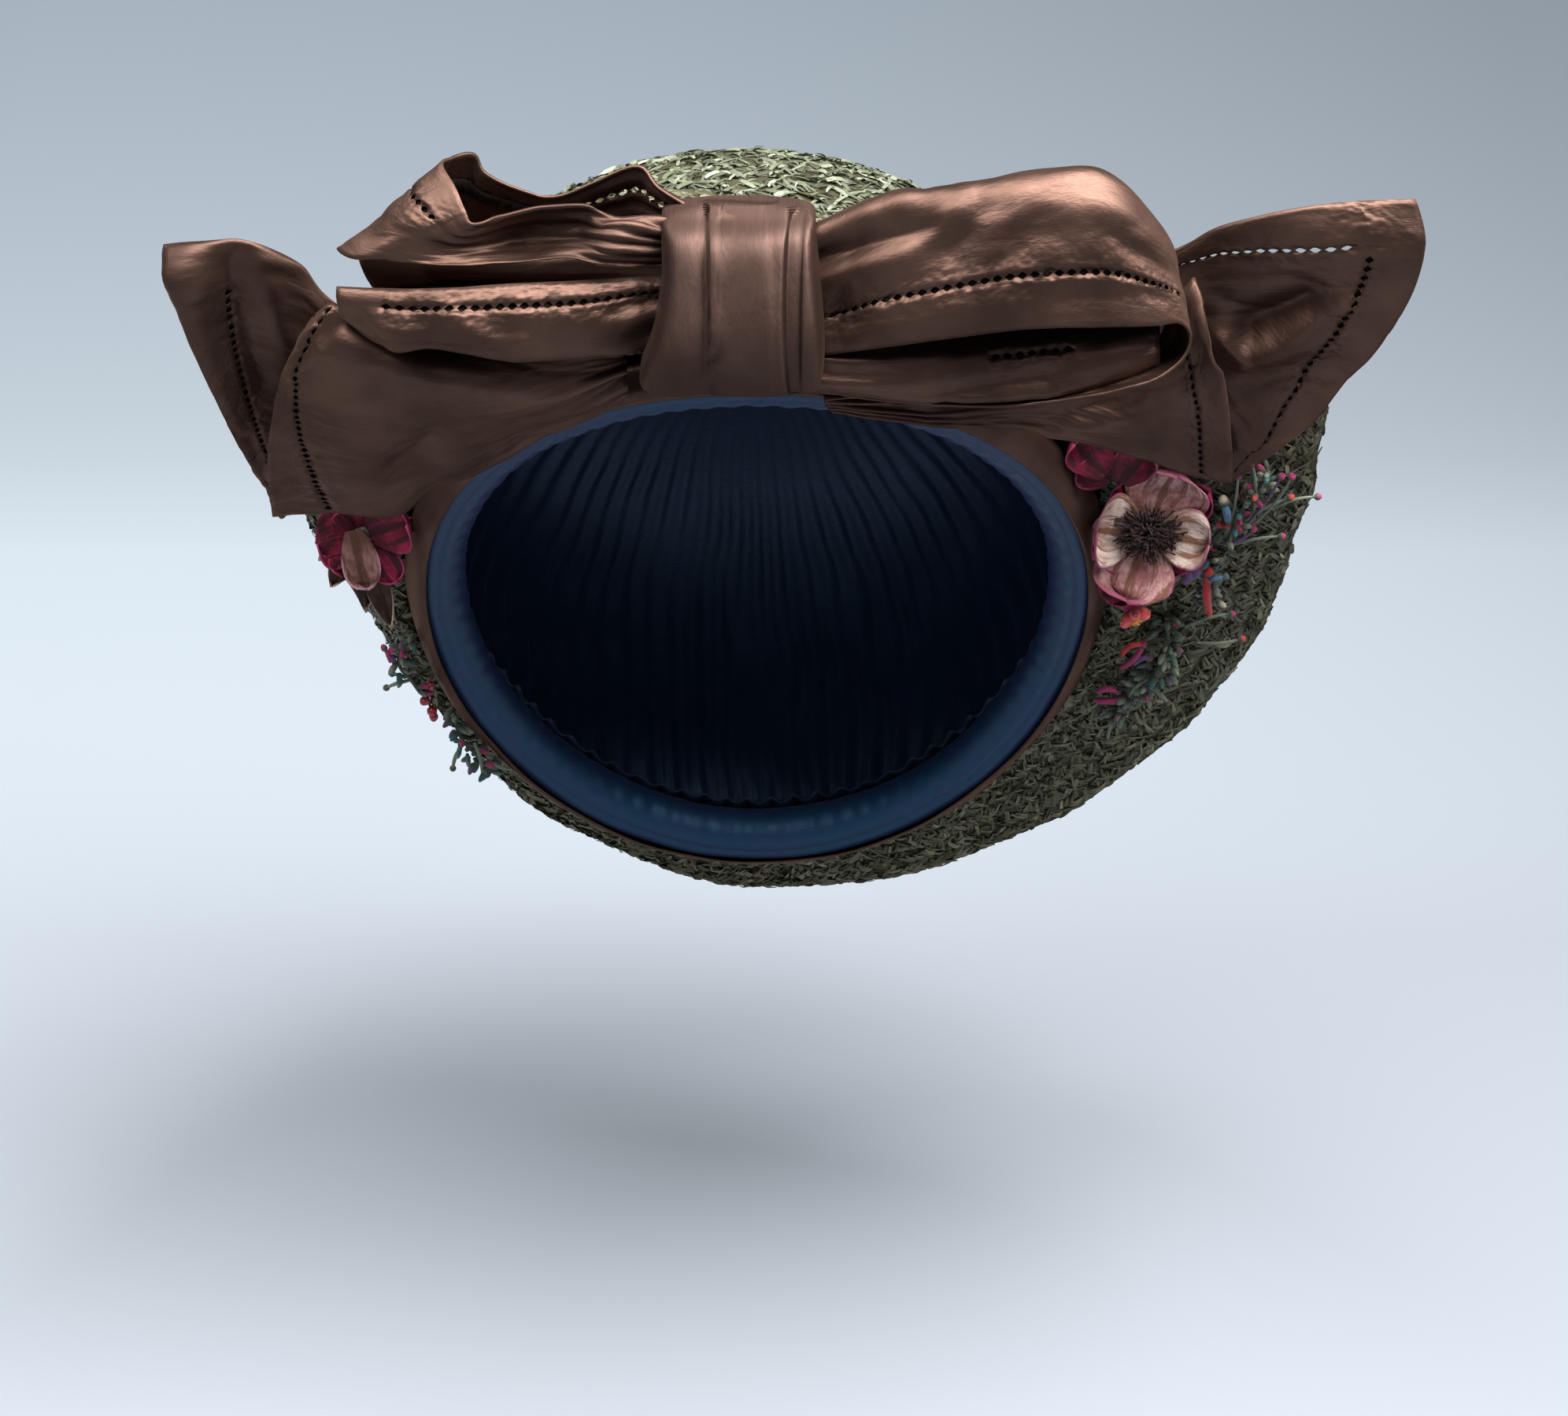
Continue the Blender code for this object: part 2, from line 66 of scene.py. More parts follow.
def cellCross(grid):
    # at each point of a sheet, a vector out of it that is as long as its cell is large
    return np.cross(np.gradient(grid, axis=0), np.gradient(grid, axis=1))


def fullTurn(count):
    return np.linspace(0, 2 * np.pi, count, endpoint=False)


def softNoise(points, size, seed=0.0):
    # a smooth random value from -1 to 1 at each point; size is one lump's size in mm
    flat = np.asarray(points, float).reshape(-1, 3) / size + seed
    values = [noise.noise(Vector(p)) for p in flat]
    return np.array(values).reshape(np.shape(points)[:-1])


def gridFaces(rows, columns, roundRows=False, roundColumns=False):
    i = np.arange(rows if roundRows else rows - 1)[:, None]
    j = np.arange(columns if roundColumns else columns - 1)[None, :]
    k = (i + 1) % rows
    m = (j + 1) % columns
    faces = np.stack((i * columns + j, k * columns + j, k * columns + m, i * columns + m), -1)
    return faces.reshape(-1, 4)


def domeFaces(rows, columns):
    # a grid that closes round its rows, with triangles from its first column to one more point
    faces = gridFaces(rows, columns, roundRows=True).tolist()
    return faces + [(rows * columns, (i + 1) % rows * columns, i * columns) for i in range(rows)]


def addToScene(name, data):
    made = bpy.data.objects.new(name, data)
    bpy.context.scene.collection.objects.link(made)
    return made


def addMesh(name, points, faces, look):
    mesh = bpy.data.meshes.new(name)
    mesh.from_pydata(points, [], faces if isinstance(faces, list) else faces.tolist())
    mesh.polygons.foreach_set("use_smooth", [True] * len(mesh.polygons))
    mesh.materials.append(look)
    return addToScene(name, mesh)


def makePiece(name, points, faces, look, uv=None, values=None):
    # points are in mm, uv in metres, and values are named numbers, one for each point
    piece = addMesh(name, (np.asarray(points) * mm).tolist(), faces, look)
    mesh = piece.data
    if uv is not None:
        corners = np.empty(len(mesh.loops), int)
        mesh.loops.foreach_get("vertex_index", corners)
        layer = mesh.uv_layers.new(name="cloth")
        layer.data.foreach_set("uv", np.asarray(uv, float)[corners].ravel())
    for key, numbers in (values or {}).items():
        mesh.attributes.new(key, "FLOAT", "POINT").data.foreach_set("value", numbers)
    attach(piece, "root")
    return piece


def addSolidify(piece, wall, group=None, thin=1.0):
    solid = piece.modifiers.new("wall", "SOLIDIFY")
    solid.thickness = wall * mm
    solid.offset = 0
    solid.use_even_offset = False
    if group:
        solid.vertex_group = group
        solid.thickness_vertex_group = thin


# Node trees: a small chain maker that keeps the recipes below short
class lookRecipe:
    def __init__(self, name):
        self.look = bpy.data.materials.new(name)
        self.look.use_nodes = True
        self.tree = self.look.node_tree
        self.shader = self.tree.nodes["Principled BSDF"]

    def node(self, kind, **settings):
        made = self.tree.nodes.new(kind)
        inputs = settings.pop("inputs", {})
        for key, value in settings.items():
            setattr(made, key, value)
        for key, value in inputs.items():
            self.plug(made, key, value)
        return made

    def plug(self, node, key, value):
        if isinstance(value, bpy.types.NodeSocket):
            self.tree.links.new(value, node.inputs[key])
        else:
            node.inputs[key].default_value = value

    def set(self, **values):
        for key, value in values.items():
            self.plug(self.shader, key.replace("_", " "), value)

    def noise(self, where, scale, detail=3.0, roughness=0.5, distortion=0.0):
        made = self.node("ShaderNodeTexNoise", inputs={
            "Vector": where, "Scale": scale, "Detail": detail,
            "Roughness": roughness, "Distortion": distortion})
        return made.outputs["Fac"]

    def stretched(self, where, scale):
        made = self.node("ShaderNodeMapping", inputs={"Vector": where, "Scale": scale})
        return made.outputs["Vector"]

    def ramp(self, value, *stops):
        made = self.node("ShaderNodeValToRGB", inputs={"Fac": value})
        points = made.color_ramp.elements
        while len(points) < len(stops):
            points.new(0.5)
        for point, (place, colour) in zip(points, stops):
            point.position = place
            point.color = (*colour, 1)
        return made.outputs["Color"]

    def mix(self, share, first, second, kind="MIX"):
        made = self.node("ShaderNodeMix", data_type="RGBA", blend_type=kind)
        self.plug(made, 0, share)
        for place, value in ((6, first), (7, second)):
            if isinstance(value, tuple):
                value = (*value, 1)
            self.plug(made, place, value)
        return made.outputs[2]

    def math(self, kind, first, second=0.0):
        made = self.node("ShaderNodeMath", operation=kind)
        self.plug(made, 0, first)
        self.plug(made, 1, second)
        return made.outputs[0]

    def range(self, value, low, high, toLow=0.0, toHigh=1.0):
        made = self.node("ShaderNodeMapRange", inputs={
            "Value": value, "From Min": low, "From Max": high,
            "To Min": toLow, "To Max": toHigh})
        return made.outputs["Result"]

    def value(self, name):
        return self.node("ShaderNodeAttribute", attribute_name=name).outputs["Fac"]

    def place(self):
        return self.node("ShaderNodeNewGeometry").outputs["Position"]

    def uv(self):
        return self.node("ShaderNodeUVMap", uv_map="cloth").outputs["UV"]

    def grain(self, scale, detail):
        # the same in every direction, and finer as scale grows
        return self.noise(self.stretched(self.place(), (scale, scale, scale)), 1.0, detail)

    def bump(self, height, finish):
        made = self.node("ShaderNodeBump", inputs={
            "Height": height, "Strength": finish["relief"],
            "Distance": finish["reliefDepth"]})
        self.set(Normal=made.outputs["Normal"])


satinFinish = {
    "threadScale": (600, 2600, 1), "crushScale": (95, 210, 1), "dimpleScale": (330, 330, 1),
    "cloudScale": 45.0, "threadGain": 0.12, "dimpleGain": 4.2, "metal": 0.82, "stretch": 0.45,
    "paintedShadeColour": (0.005, 0.003, 0.002), "paintedShadeRough": 0.9, "shineTint": (0.78, 0.60, 0.52, 1),
    "sheenTint": (0.95, 0.62, 0.48, 1), "relief": 0.40, "reliefDepth": 0.0009,
}


def satinLook(name, dark, light, smooth, rough):
    r = lookRecipe(name)
    cloth, hem = r.uv(), r.value("hem")
    threads = r.noise(r.stretched(cloth, satinFinish["threadScale"]), 1.0, 2.0)
    crush = r.noise(r.stretched(cloth, satinFinish["crushScale"]), 1.0, 3.0, 0.55, 0.4)
    dimples = r.noise(r.stretched(cloth, satinFinish["dimpleScale"]), 1.0, 1.0)
    cloud = r.noise(r.place(), satinFinish["cloudScale"], 3.0)
    base = r.ramp(cloud, (0.35, dark), (0.65, light))
    # painted shade: where the hem value is high, behind and round the drawn-thread holes and along
    # the knot's pleat grooves, the colour goes near black, the metal drops away and the cloth turns
    # rough
    base = r.mix(r.range(hem, 0.2, 0.9), base, satinFinish["paintedShadeColour"])
    gloss = r.range(threads, 0.3, 0.7, smooth, rough)
    matt = r.range(hem, 0.5, 1.0, 0.0, satinFinish["paintedShadeRough"])
    tangent = r.node("ShaderNodeTangent", direction_type="UV_MAP", uv_map="cloth")
    r.set(Base_Color=base, Metallic=r.range(hem, 0.5, 1.0, satinFinish["metal"], 0.0),
          Roughness=r.math("MAXIMUM", gloss, matt), Anisotropic=satinFinish["stretch"],
          Tangent=tangent.outputs["Tangent"], Specular_IOR_Level=0.2,
          Specular_Tint=satinFinish["shineTint"], Sheen_Weight=0.02, Sheen_Roughness=0.4,
          Sheen_Tint=satinFinish["sheenTint"])
    dimples = r.math("MULTIPLY", dimples, r.value("pull"))
    dimples = r.math("MULTIPLY", dimples, satinFinish["dimpleGain"])
    threads = r.math("MULTIPLY", threads, satinFinish["threadGain"])
    r.bump(r.math("ADD", threads, r.math("ADD", crush, dimples)), satinFinish)
    return r.look


strawFinish = {
    # tones near 1 come mostly from the painted glints, so the palest stop is a painted highlight
    # colour
    "tones": ((0.0, (0.040, 0.040, 0.022)), (0.30, (0.130, 0.132, 0.070)),
              (0.60, (0.255, 0.268, 0.152)), (0.85, (0.420, 0.445, 0.290)),
              (1.0, (0.680, 0.680, 0.480))),
    "fibreScale": 900, "fibreShade": (0.10, 0.11, 0.05), "fibreShare": 0.30,
    "darkRough": 0.65, "paleRough": 0.34, "relief": 0.3, "reliefDepth": 0.0003,
}


def strawLook(name, shade, shine):
    r = lookRecipe(name)
    tone = r.value("tone")
    fibre = r.grain(strawFinish["fibreScale"], 2.0)
    share = r.range(fibre, 0.3, 0.7, 0.0, strawFinish["fibreShare"])
    base = r.mix(share, r.ramp(tone, *strawFinish["tones"]), strawFinish["fibreShade"])
    rough = r.range(tone, 0.0, 1.0, strawFinish["darkRough"], strawFinish["paleRough"])
    r.set(Base_Color=r.mix(1.0, base, shade, "MULTIPLY"), Roughness=rough,
          Specular_IOR_Level=shine)
    r.bump(fibre, strawFinish)
    return r.look


silkFinish = {
    "ribScale": (300, 3200, 1), "turnBlend": 0.45, "cloudScale": 60.0, "cloudShare": 0.35,
    "smooth": 0.34, "rough": 0.48, "metal": 0.40, "sheenTint": (0.35, 0.42, 0.80, 1),
    "relief": 0.35, "reliefDepth": 0.0003,
}


def silkLook(name, dark, light):
    # a shot silk: dark where it faces the eye and light where it turns away
    r = lookRecipe(name)
    ribs = r.noise(r.stretched(r.uv(), silkFinish["ribScale"]), 1.0, 2.0)
    turned = r.node("ShaderNodeLayerWeight", inputs={"Blend": silkFinish["turnBlend"]})
    shot = r.ramp(turned.outputs["Facing"], (0.15, dark), (0.85, light))
    cloud = r.noise(r.place(), silkFinish["cloudScale"])
    base = r.mix(r.range(cloud, 0.4, 0.7, 0.0, silkFinish["cloudShare"]), shot, light)
    rough = r.range(ribs, 0.3, 0.7, silkFinish["smooth"], silkFinish["rough"])
    r.set(Base_Color=base, Roughness=rough, Metallic=silkFinish["metal"],
          Specular_IOR_Level=0.25, Sheen_Weight=0.05, Sheen_Roughness=0.4,
          Sheen_Tint=silkFinish["sheenTint"])
    r.bump(ribs, silkFinish)
    return r.look


velvetFinish = {
    "streakScale": (420, 75, 1), "blotchScale": 210.0, "pileScale": 2500, "crumpleScale": 480.0,
    "streakShare": 0.92, "rootShare": 0.7, "edgeShare": 0.85, "rough": 0.75, "sheen": 0.12,
    "pileGain": 0.25, "relief": 0.5, "reliefDepth": 0.0009,
}


def velvetLook(name, deep, pale, edge, streak):
    r = lookRecipe(name)
    lines = r.noise(r.stretched(r.uv(), velvetFinish["streakScale"]), 1.0, 4.0, 0.65, 0.6)
    blotch = r.noise(r.place(), velvetFinish["blotchScale"], 5.0, 0.72)
    pile = r.grain(velvetFinish["pileScale"], 2.0)
    crumple = r.noise(r.place(), velvetFinish["crumpleScale"], 3.0, 0.6)
    base = r.ramp(blotch, (0.40, deep), (0.60, pale))
    base = r.mix(r.range(lines, 0.47, 0.57, 0.0, velvetFinish["streakShare"]), base, streak)
    root = r.range(r.value("root"), 0.0, 1.0, 0.0, velvetFinish["rootShare"])
    rim = r.range(r.value("rim"), 0.72, 1.0, 0.0, velvetFinish["edgeShare"])
    base = r.mix(rim, r.mix(root, base, streak), edge)
    r.set(Base_Color=base, Roughness=velvetFinish["rough"], Specular_IOR_Level=0.25,
          Sheen_Weight=velvetFinish["sheen"], Sheen_Roughness=0.4, Sheen_Tint=(*pale, 1))
    pile = r.math("MULTIPLY", pile, velvetFinish["pileGain"])
    r.bump(r.math("ADD", pile, r.math("ADD", lines, crumple)), velvetFinish)
    return r.look


satin = satinLook("brown satin", (0.046, 0.026, 0.020), (0.080, 0.045, 0.034), 0.43, 0.51)
# the knot's satin: rougher for its tight wrap, and its colours painted darker as shade on the knot
dullSatin = satinLook("brown satin, wrapped tight", (0.038, 0.022, 0.017), (0.054, 0.032, 0.026),
                      0.46, 0.56)
crownStraw = strawLook("straw braid", (0.222, 0.236, 0.228), 0.45)
underStraw = strawLook("straw braid, shaded side", (0.34, 0.30, 0.275), 0.25)
# the ground sheet's colours are kept dark as painted shade in the gaps between the flecks
strawGround = strawLook("straw ground", (0.32, 0.28, 0.25), 0.2)
rollSilk = silkLook("blue shot silk", (0.004, 0.034, 0.072), (0.020, 0.024, 0.075))
liningSilk = silkLook("blue lining silk", (0.005, 0.018, 0.040), (0.014, 0.020, 0.052))

straw = {
    "rollHalfWidth": 87.0, "rollHalfLength": 107.0, "frontDrop": 15.0, "backDrop": 11.0,
    "throatHalfWidth": 97.8, "throatHalfLength": 117.8, "throatRise": 3.2,
    "crownHalfWidth": 101.0, "crownHalfLength": 108.0, "crownTop": 100.0,
    "crownShift": -4.0, "crownSquareness": 3.2, "brimBendShare": 0.45,
    "turns": 240, "leanFrom": 0.6, "leanSteps": 160, "brimSteps": 60,
    "crownStations": 54, "brimStations": 22, "braidPitch": 5.5, "groundWall": 1.0,
}


def ringPoint(turn, ring, out):
    # x and y of a point that lies out from one of the hat's ovals: roll, throat or crown
    halfWidth, halfLength = straw[ring + "HalfWidth"], straw[ring + "HalfLength"]
    x = np.sin(turn) * halfLength
    y = -np.cos(turn) * halfWidth
    size = np.hypot(x, y)
    return halfWidth * np.sin(turn) + x / size * out, -halfLength * np.cos(turn) + y / size * out


def ringDrop(turn):
    drop = np.where(np.cos(turn) > 0, straw["frontDrop"], straw["backDrop"])
    return -drop * np.cos(turn) ** 2


def crownPoint(turn, lean, inset):
    # lean is 0 at the crown's top and a quarter turn at its foot
    foot = ringPoint(turn, "throat", -inset)
    side = ringPoint(turn, "crown", -inset)
    out = np.sin(lean) ** (2 / straw["crownSquareness"])
    up = np.maximum(0.0, np.cos(lean)) ** (2 / straw["crownSquareness"])
    flare = (1 - up) ** 2
    x = (side[0] + (foot[0] - side[0]) * flare) * out + straw["crownShift"] * up
    y = (side[1] + (foot[1] - side[1]) * flare) * out
    rise = straw["throatRise"]
    z = rise + (straw["crownTop"] - inset - rise) * up + ringDrop(turn) * (1 - up) * out
    return np.stack(np.broadcast_arrays(x, y, z), -1)


# Brim round the hat: angle from the front towards the right, width of straw outside the
# crown, and how far it turns up from the plane of the opening, both angles in degrees
brimRows = namedRows("angle width turn")
brimTable = brimRows(
    (0, 38, 74), (12, 32, 72), (30, 30, 64), (50, 46, 42), (65, 64, 8), (74, 56, 4), (85, 48, 2),
    (95, 45, 0), (112, 39, -2), (130, 32, -4), (150, 26, -4), (180, 22, 0), (210, 18, 20),
    (235, 16, 50), (255, 20, 55), (275, 32, 40), (284, 38, 36), (300, 42, 46), (330, 40, 66),
    (348, 42, 74), (360, 38, 74),
)


def brimAt(turn):
    table = np.array(brimTable, float)
    angle = np.degrees(turn) % 360
    low = np.clip(np.searchsorted(table[:, 0], angle, side="right") - 1, 0, len(table) - 2)
    part = (angle - table[low, 0]) / (table[low + 1, 0] - table[low, 0])
    part = part * part * (3 - 2 * part)
    return tuple(table[low, k] + (table[low + 1, k] - table[low, k]) * part for k in (1, 2))


def evenAlong(line, count):
    # the same curve with evenly spaced points, for each row of lines
    steps = np.linalg.norm(np.diff(line, axis=1), axis=2)
    length = np.concatenate((np.zeros((len(line), 1)), np.cumsum(steps, axis=1)), axis=1)
    found = np.empty((len(line), count, 3))
    for row in range(len(line)):
        wanted = np.linspace(0, length[row, -1], count)
        for k in range(3):
            found[row, :, k] = np.interp(wanted, length[row], line[row, :, k])
    return found, length[:, -1]


def strawSheets():
    # crown and brim as grids of even points, with the length of each line of them
    turn = np.linspace(0, 2 * np.pi, straw["turns"] + 1)
    lean = np.radians(np.linspace(straw["leanFrom"], 90, straw["leanSteps"]))
    crown = crownPoint(turn[:, None], lean[None, :], 0.0)
    width, turnUp = brimAt(turn)
    steps = straw["brimSteps"]
    part = (np.arange(steps) + 0.5) / steps
    heading = np.radians(turnUp)[:, None] * np.minimum(1, part / straw["brimBendShare"])
    out = np.cumsum(np.cos(heading) * width[:, None] / steps, axis=1)
    up = np.cumsum(np.sin(heading) * width[:, None] / steps, axis=1)
    x, y = ringPoint(turn[:, None], "throat", out)
    base = straw["throatRise"] + ringDrop(turn)[:, None]
    brim = np.concatenate((crown[:, -1:], np.stack((x, y, base + up), -1)), axis=1)
    crown, crownLength = evenAlong(hatToWorld(crown), straw["crownStations"])
    brim, brimLength = evenAlong(hatToWorld(brim), straw["brimStations"])
    return crown, crownLength, brim, brimLength


def sheetFrame(grid):
    # unit directions round the hat, down its profile and out of the sheet
    alongTurn = unit(np.gradient(grid, axis=0))
    alongProfile = unit(np.gradient(grid, axis=1))
    return alongTurn, alongProfile, unit(np.cross(alongProfile, alongTurn))


def pickOn(grids, i, j):
    # values of several grids at fractional places, by bilinear steps
    low = np.minimum(i.astype(int), grids[0].shape[0] - 2)
    left = np.minimum(j.astype(int), grids[0].shape[1] - 2)
    a, b = i - low, j - left
    found = []
    for grid in grids:
        wide = (slice(None),) + (None,) * (grid.ndim - 2)
        found.append(
            grid[low, left] * ((1 - a) * (1 - b))[wide] + grid[low + 1, left] * (a * (1 - b))[wide]
            + grid[low, left + 1] * ((1 - a) * b)[wide] + grid[low + 1, left + 1] * (a * b)[wide])
    return found


fleck = {
    "crown": 27000, "brim": 13500, "under": 23000, "braidRound": 0.55,
    "length": 4.8, "lengthSpread": 1.3, "lengthRange": (2.0, 9),
    "width": 0.86, "widthSpread": 0.35, "widthRange": (0.6, 2.2), "tipShare": 0.72,
    "slant": 38.0, "slantSpread": 0.30, "otherWay": 0.22,   # share that crosses the other way
    "lift": 0.55, "liftSpread": 0.24, "arch": 0.35, "archSpread": 0.25,
    "tiltSpread": 0.45, "endSpread": 0.35, "tone": 0.46, "paintedLiftLight": 0.16, "seamShade": 0.9,
    "toneSpread": 0.18, "toneRange": (0.02, 0.86), "glintTone": (0.88, 1.0),
    "patchSize": 22.0, "patchGain": 0.10,
}


def braidFlecks(grid, rows, count, side, glint, curl):
    # crossing bits of straw over one side of a sheet; rows is each point's place in braid rows
    alongTurn, alongProfile, outward = sheetFrame(grid)
    share = np.linalg.norm(cellCross(grid), axis=-1)[:-1, :-1].ravel()
    cell = rng.choice(len(share), count, p=share / share.sum())
    i = cell // (grid.shape[1] - 1) + rng.random(count)
    j = cell % (grid.shape[1] - 1) + rng.random(count)
    point, along, down, out, row = pickOn([grid, alongTurn, alongProfile, outward, rows], i, j)
    inRow = row % 1.0 - 0.5
    slant = np.radians(fleck["slant"]) * np.where(rng.random(count) < fleck["otherWay"], -1, 1)
    slant *= np.where(inRow > 0, 1, -1)
    slant = (slant + rng.normal(0, fleck["slantSpread"], count)) * np.clip(row * 1.2, 0.12, 1)
    heading = unit(along * np.cos(slant)[:, None] + down * np.sin(slant)[:, None])
    out = unit(out) * side
    lift = (fleck["lift"] + fleck["braidRound"] * np.cos(inRow * 2 * np.pi)
            + rng.normal(0, fleck["liftSpread"], count))
    arch = np.abs(rng.normal(fleck["arch"], fleck["archSpread"], count)) * curl
    length = rng.normal(fleck["length"] / curl ** 0.7, fleck["lengthSpread"], count)
    length = np.clip(length, *fleck["lengthRange"])
    width = np.clip(rng.normal(fleck["width"], fleck["widthSpread"], count), *fleck["widthRange"])
    tilt = rng.normal(0, fleck["tiltSpread"], count)
    sideways = np.cross(out, heading)
    across = sideways * np.cos(tilt)[:, None] + out * np.sin(tilt)[:, None]
    ends = rng.normal(0, fleck["endSpread"], (count, 2))
    points = []
    tip = fleck["tipShare"]
    for t, part in ((-1.0, tip), (-0.4, 1.0), (0.4, 1.0), (1.0, tip)):
        bend = ends[:, 0 if t > 0 else 1] * abs(t) * curl
        middle = (point + heading * (t * length / 2)[:, None]
                  + out * (lift + arch * (1 - t * t) + 0.25 * bend)[:, None]
                  + sideways * (bend * 0.6)[:, None])
        reach = across * (width / 2 * part)[:, None]
        points += [middle - reach, middle + reach]
    points = np.stack(points, 1)
    first = np.arange(count)[:, None, None] * 8
    quads = np.array(((0, 1, 3, 2), (2, 3, 5, 4), (4, 5, 7, 6)))[None]
    # painted light and shade: flecks that stand further out are lighter, and those near the seams
    # between braid rows are darker
    tone = fleck["tone"] + fleck["paintedLiftLight"] * lift - fleck["seamShade"] * np.abs(inRow) ** 2
    tone = np.clip(tone + rng.normal(0, fleck["toneSpread"], count), *fleck["toneRange"])
    # painted highlights: a share of flecks take the palest tones as glints
    paintedGlints = rng.random(count) < glint
    tone[paintedGlints] = rng.uniform(*fleck["glintTone"], paintedGlints.sum())
    patch = softNoise(point, fleck["patchSize"], 3.0)
    tone = np.clip(tone + fleck["patchGain"] * patch, 0.0, 1.0)
    return points.reshape(-1, 3), (first + quads).reshape(-1, 4), np.repeat(tone, 8)


def makeStraw():
    crown, crownLength, brim, brimLength = strawSheets()
    whole = np.concatenate((crown, brim[:, 1:]), axis=1)[:-1]
    top = hatToWorld(np.array([straw["crownShift"], 0.0, straw["crownTop"]]))
    # painted shade: low tones keep the ground dark where it shows between the flecks
    tone = np.clip(0.14 + 0.20 * softNoise(whole, 9.0).ravel(), 0, 1)
    ground = makePiece("straw_ground", np.vstack((whole.reshape(-1, 3), top)),
                       domeFaces(*whole.shape[:2]), strawGround,
                       values={"tone": np.append(tone, 0.1)})
    addSolidify(ground, straw["groundWall"])
    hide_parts("straw_body")
    fromTop = np.linspace(0, 1, crown.shape[1])[None, :] * crownLength[:, None]
    fromRim = np.linspace(1, 0, brim.shape[1])[None, :] * brimLength[:, None]
    # glinting share is the share of flecks painted pale as highlights, most on the lit crown and
    # fewest under the brim
    braids = (   # the last four: how many flecks, the side they lie on, glinting share and curl
        ("straw_crown_braid", crown, fromTop, crownStraw, (fleck["crown"], 1, 0.17, 1.0)),
        ("straw_brim_braid", brim, fromRim, crownStraw, (fleck["brim"], 1, 0.12, 1.0)),
        ("straw_under_braid", brim, fromRim, underStraw, (fleck["under"], -1, 0.03, 1.25)),
    )
    for name, grid, distance, look, kind in braids:
        points, faces, tones = braidFlecks(grid, distance / straw["braidPitch"], *kind)
        makePiece(name, points, faces, look, values={"tone": tones})
    print("straw: sheets, braid rows and loose bits made")


makeStraw()


# Padded roll round the opening, the gathered lining inside the crown, and the satin band
roll = {
    "turns": 420, "sides": 56, "radius": 7.4, "seamAt": -100.0, "seamDepth": 0.9,
    "seamWidth": 5.0, "gathers": 76, "gatherDepth": 0.22, "gatherReach": 150.0,
    "pull": 0.12, "pullReach": 14.0, "lump": 0.35, "smallLump": 0.15,
}


def ringSurface(turn, around, radius):
    x, y = ringPoint(turn, "roll", radius * np.cos(around))
    return hatToWorld(np.stack((x, y, ringDrop(turn) + radius * np.sin(around)), -1))


def ringCloth(turn, around, radius):
    # the cloth's own measures in metres; the ring's mean radius is 0.1
    return np.stack((turn * 0.1, around * radius * mm), -1).reshape(-1, 2)


def makeRoll():
    turn, around = np.meshgrid(fullTurn(roll["turns"]), fullTurn(roll["sides"]), indexing="ij")
    fromSeam = (np.degrees(around) - roll["seamAt"] + 180) % 360 - 180
    seam = np.exp(-((fromSeam / roll["seamWidth"]) ** 2))
    inner = ((fromSeam < 0) & (fromSeam > -roll["gatherReach"])) * np.clip(-fromSeam / 12, 0, 1)
    inner = inner * np.clip((roll["gatherReach"] + fromSeam) / 60, 0, 1)
    where = ringSurface(turn, around, roll["radius"])
    lumps = roll["lump"] * softNoise(where, 26.0) + roll["smallLump"] * softNoise(where, 9.0, 5.0)
    ruck = np.sin(turn * roll["gathers"] + 3.0 * softNoise(where, 30.0, 9.0))
    pucker = np.maximum(0, np.sin(turn * roll["gathers"] * 1.7))
    pucker = pucker * np.exp(-np.abs(fromSeam) / roll["pullReach"])
    radius = (roll["radius"] - roll["seamDepth"] * seam + lumps
              + roll["gatherDepth"] * inner * ruck - roll["pull"] * pucker)
    points = ringSurface(turn, around, radius)
    piece = makePiece("padded_roll", points.reshape(-1, 3), gridFaces(*turn.shape, True, True),
                      rollSilk, ringCloth(turn, around, roll["radius"]))
    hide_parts("bandeau_roll")


# The lining's foot lies over the roll: foot says how far outside the roll's oval each of its
# points is, and footRise how far above it
lining = {
    "turns": 400, "stations": 44, "wall": 0.5, "folds": 72, "foldDepth": 1.8, "wander": 4.0,
    "smallWander": 1.2, "unevenness": 1.1, "foot": (7.0, 1.5, -4.0), "footRise": 8.3,
    "lean": (2.0, 81), "inset": 2.6, "flat": (0.66, 0.17),
}


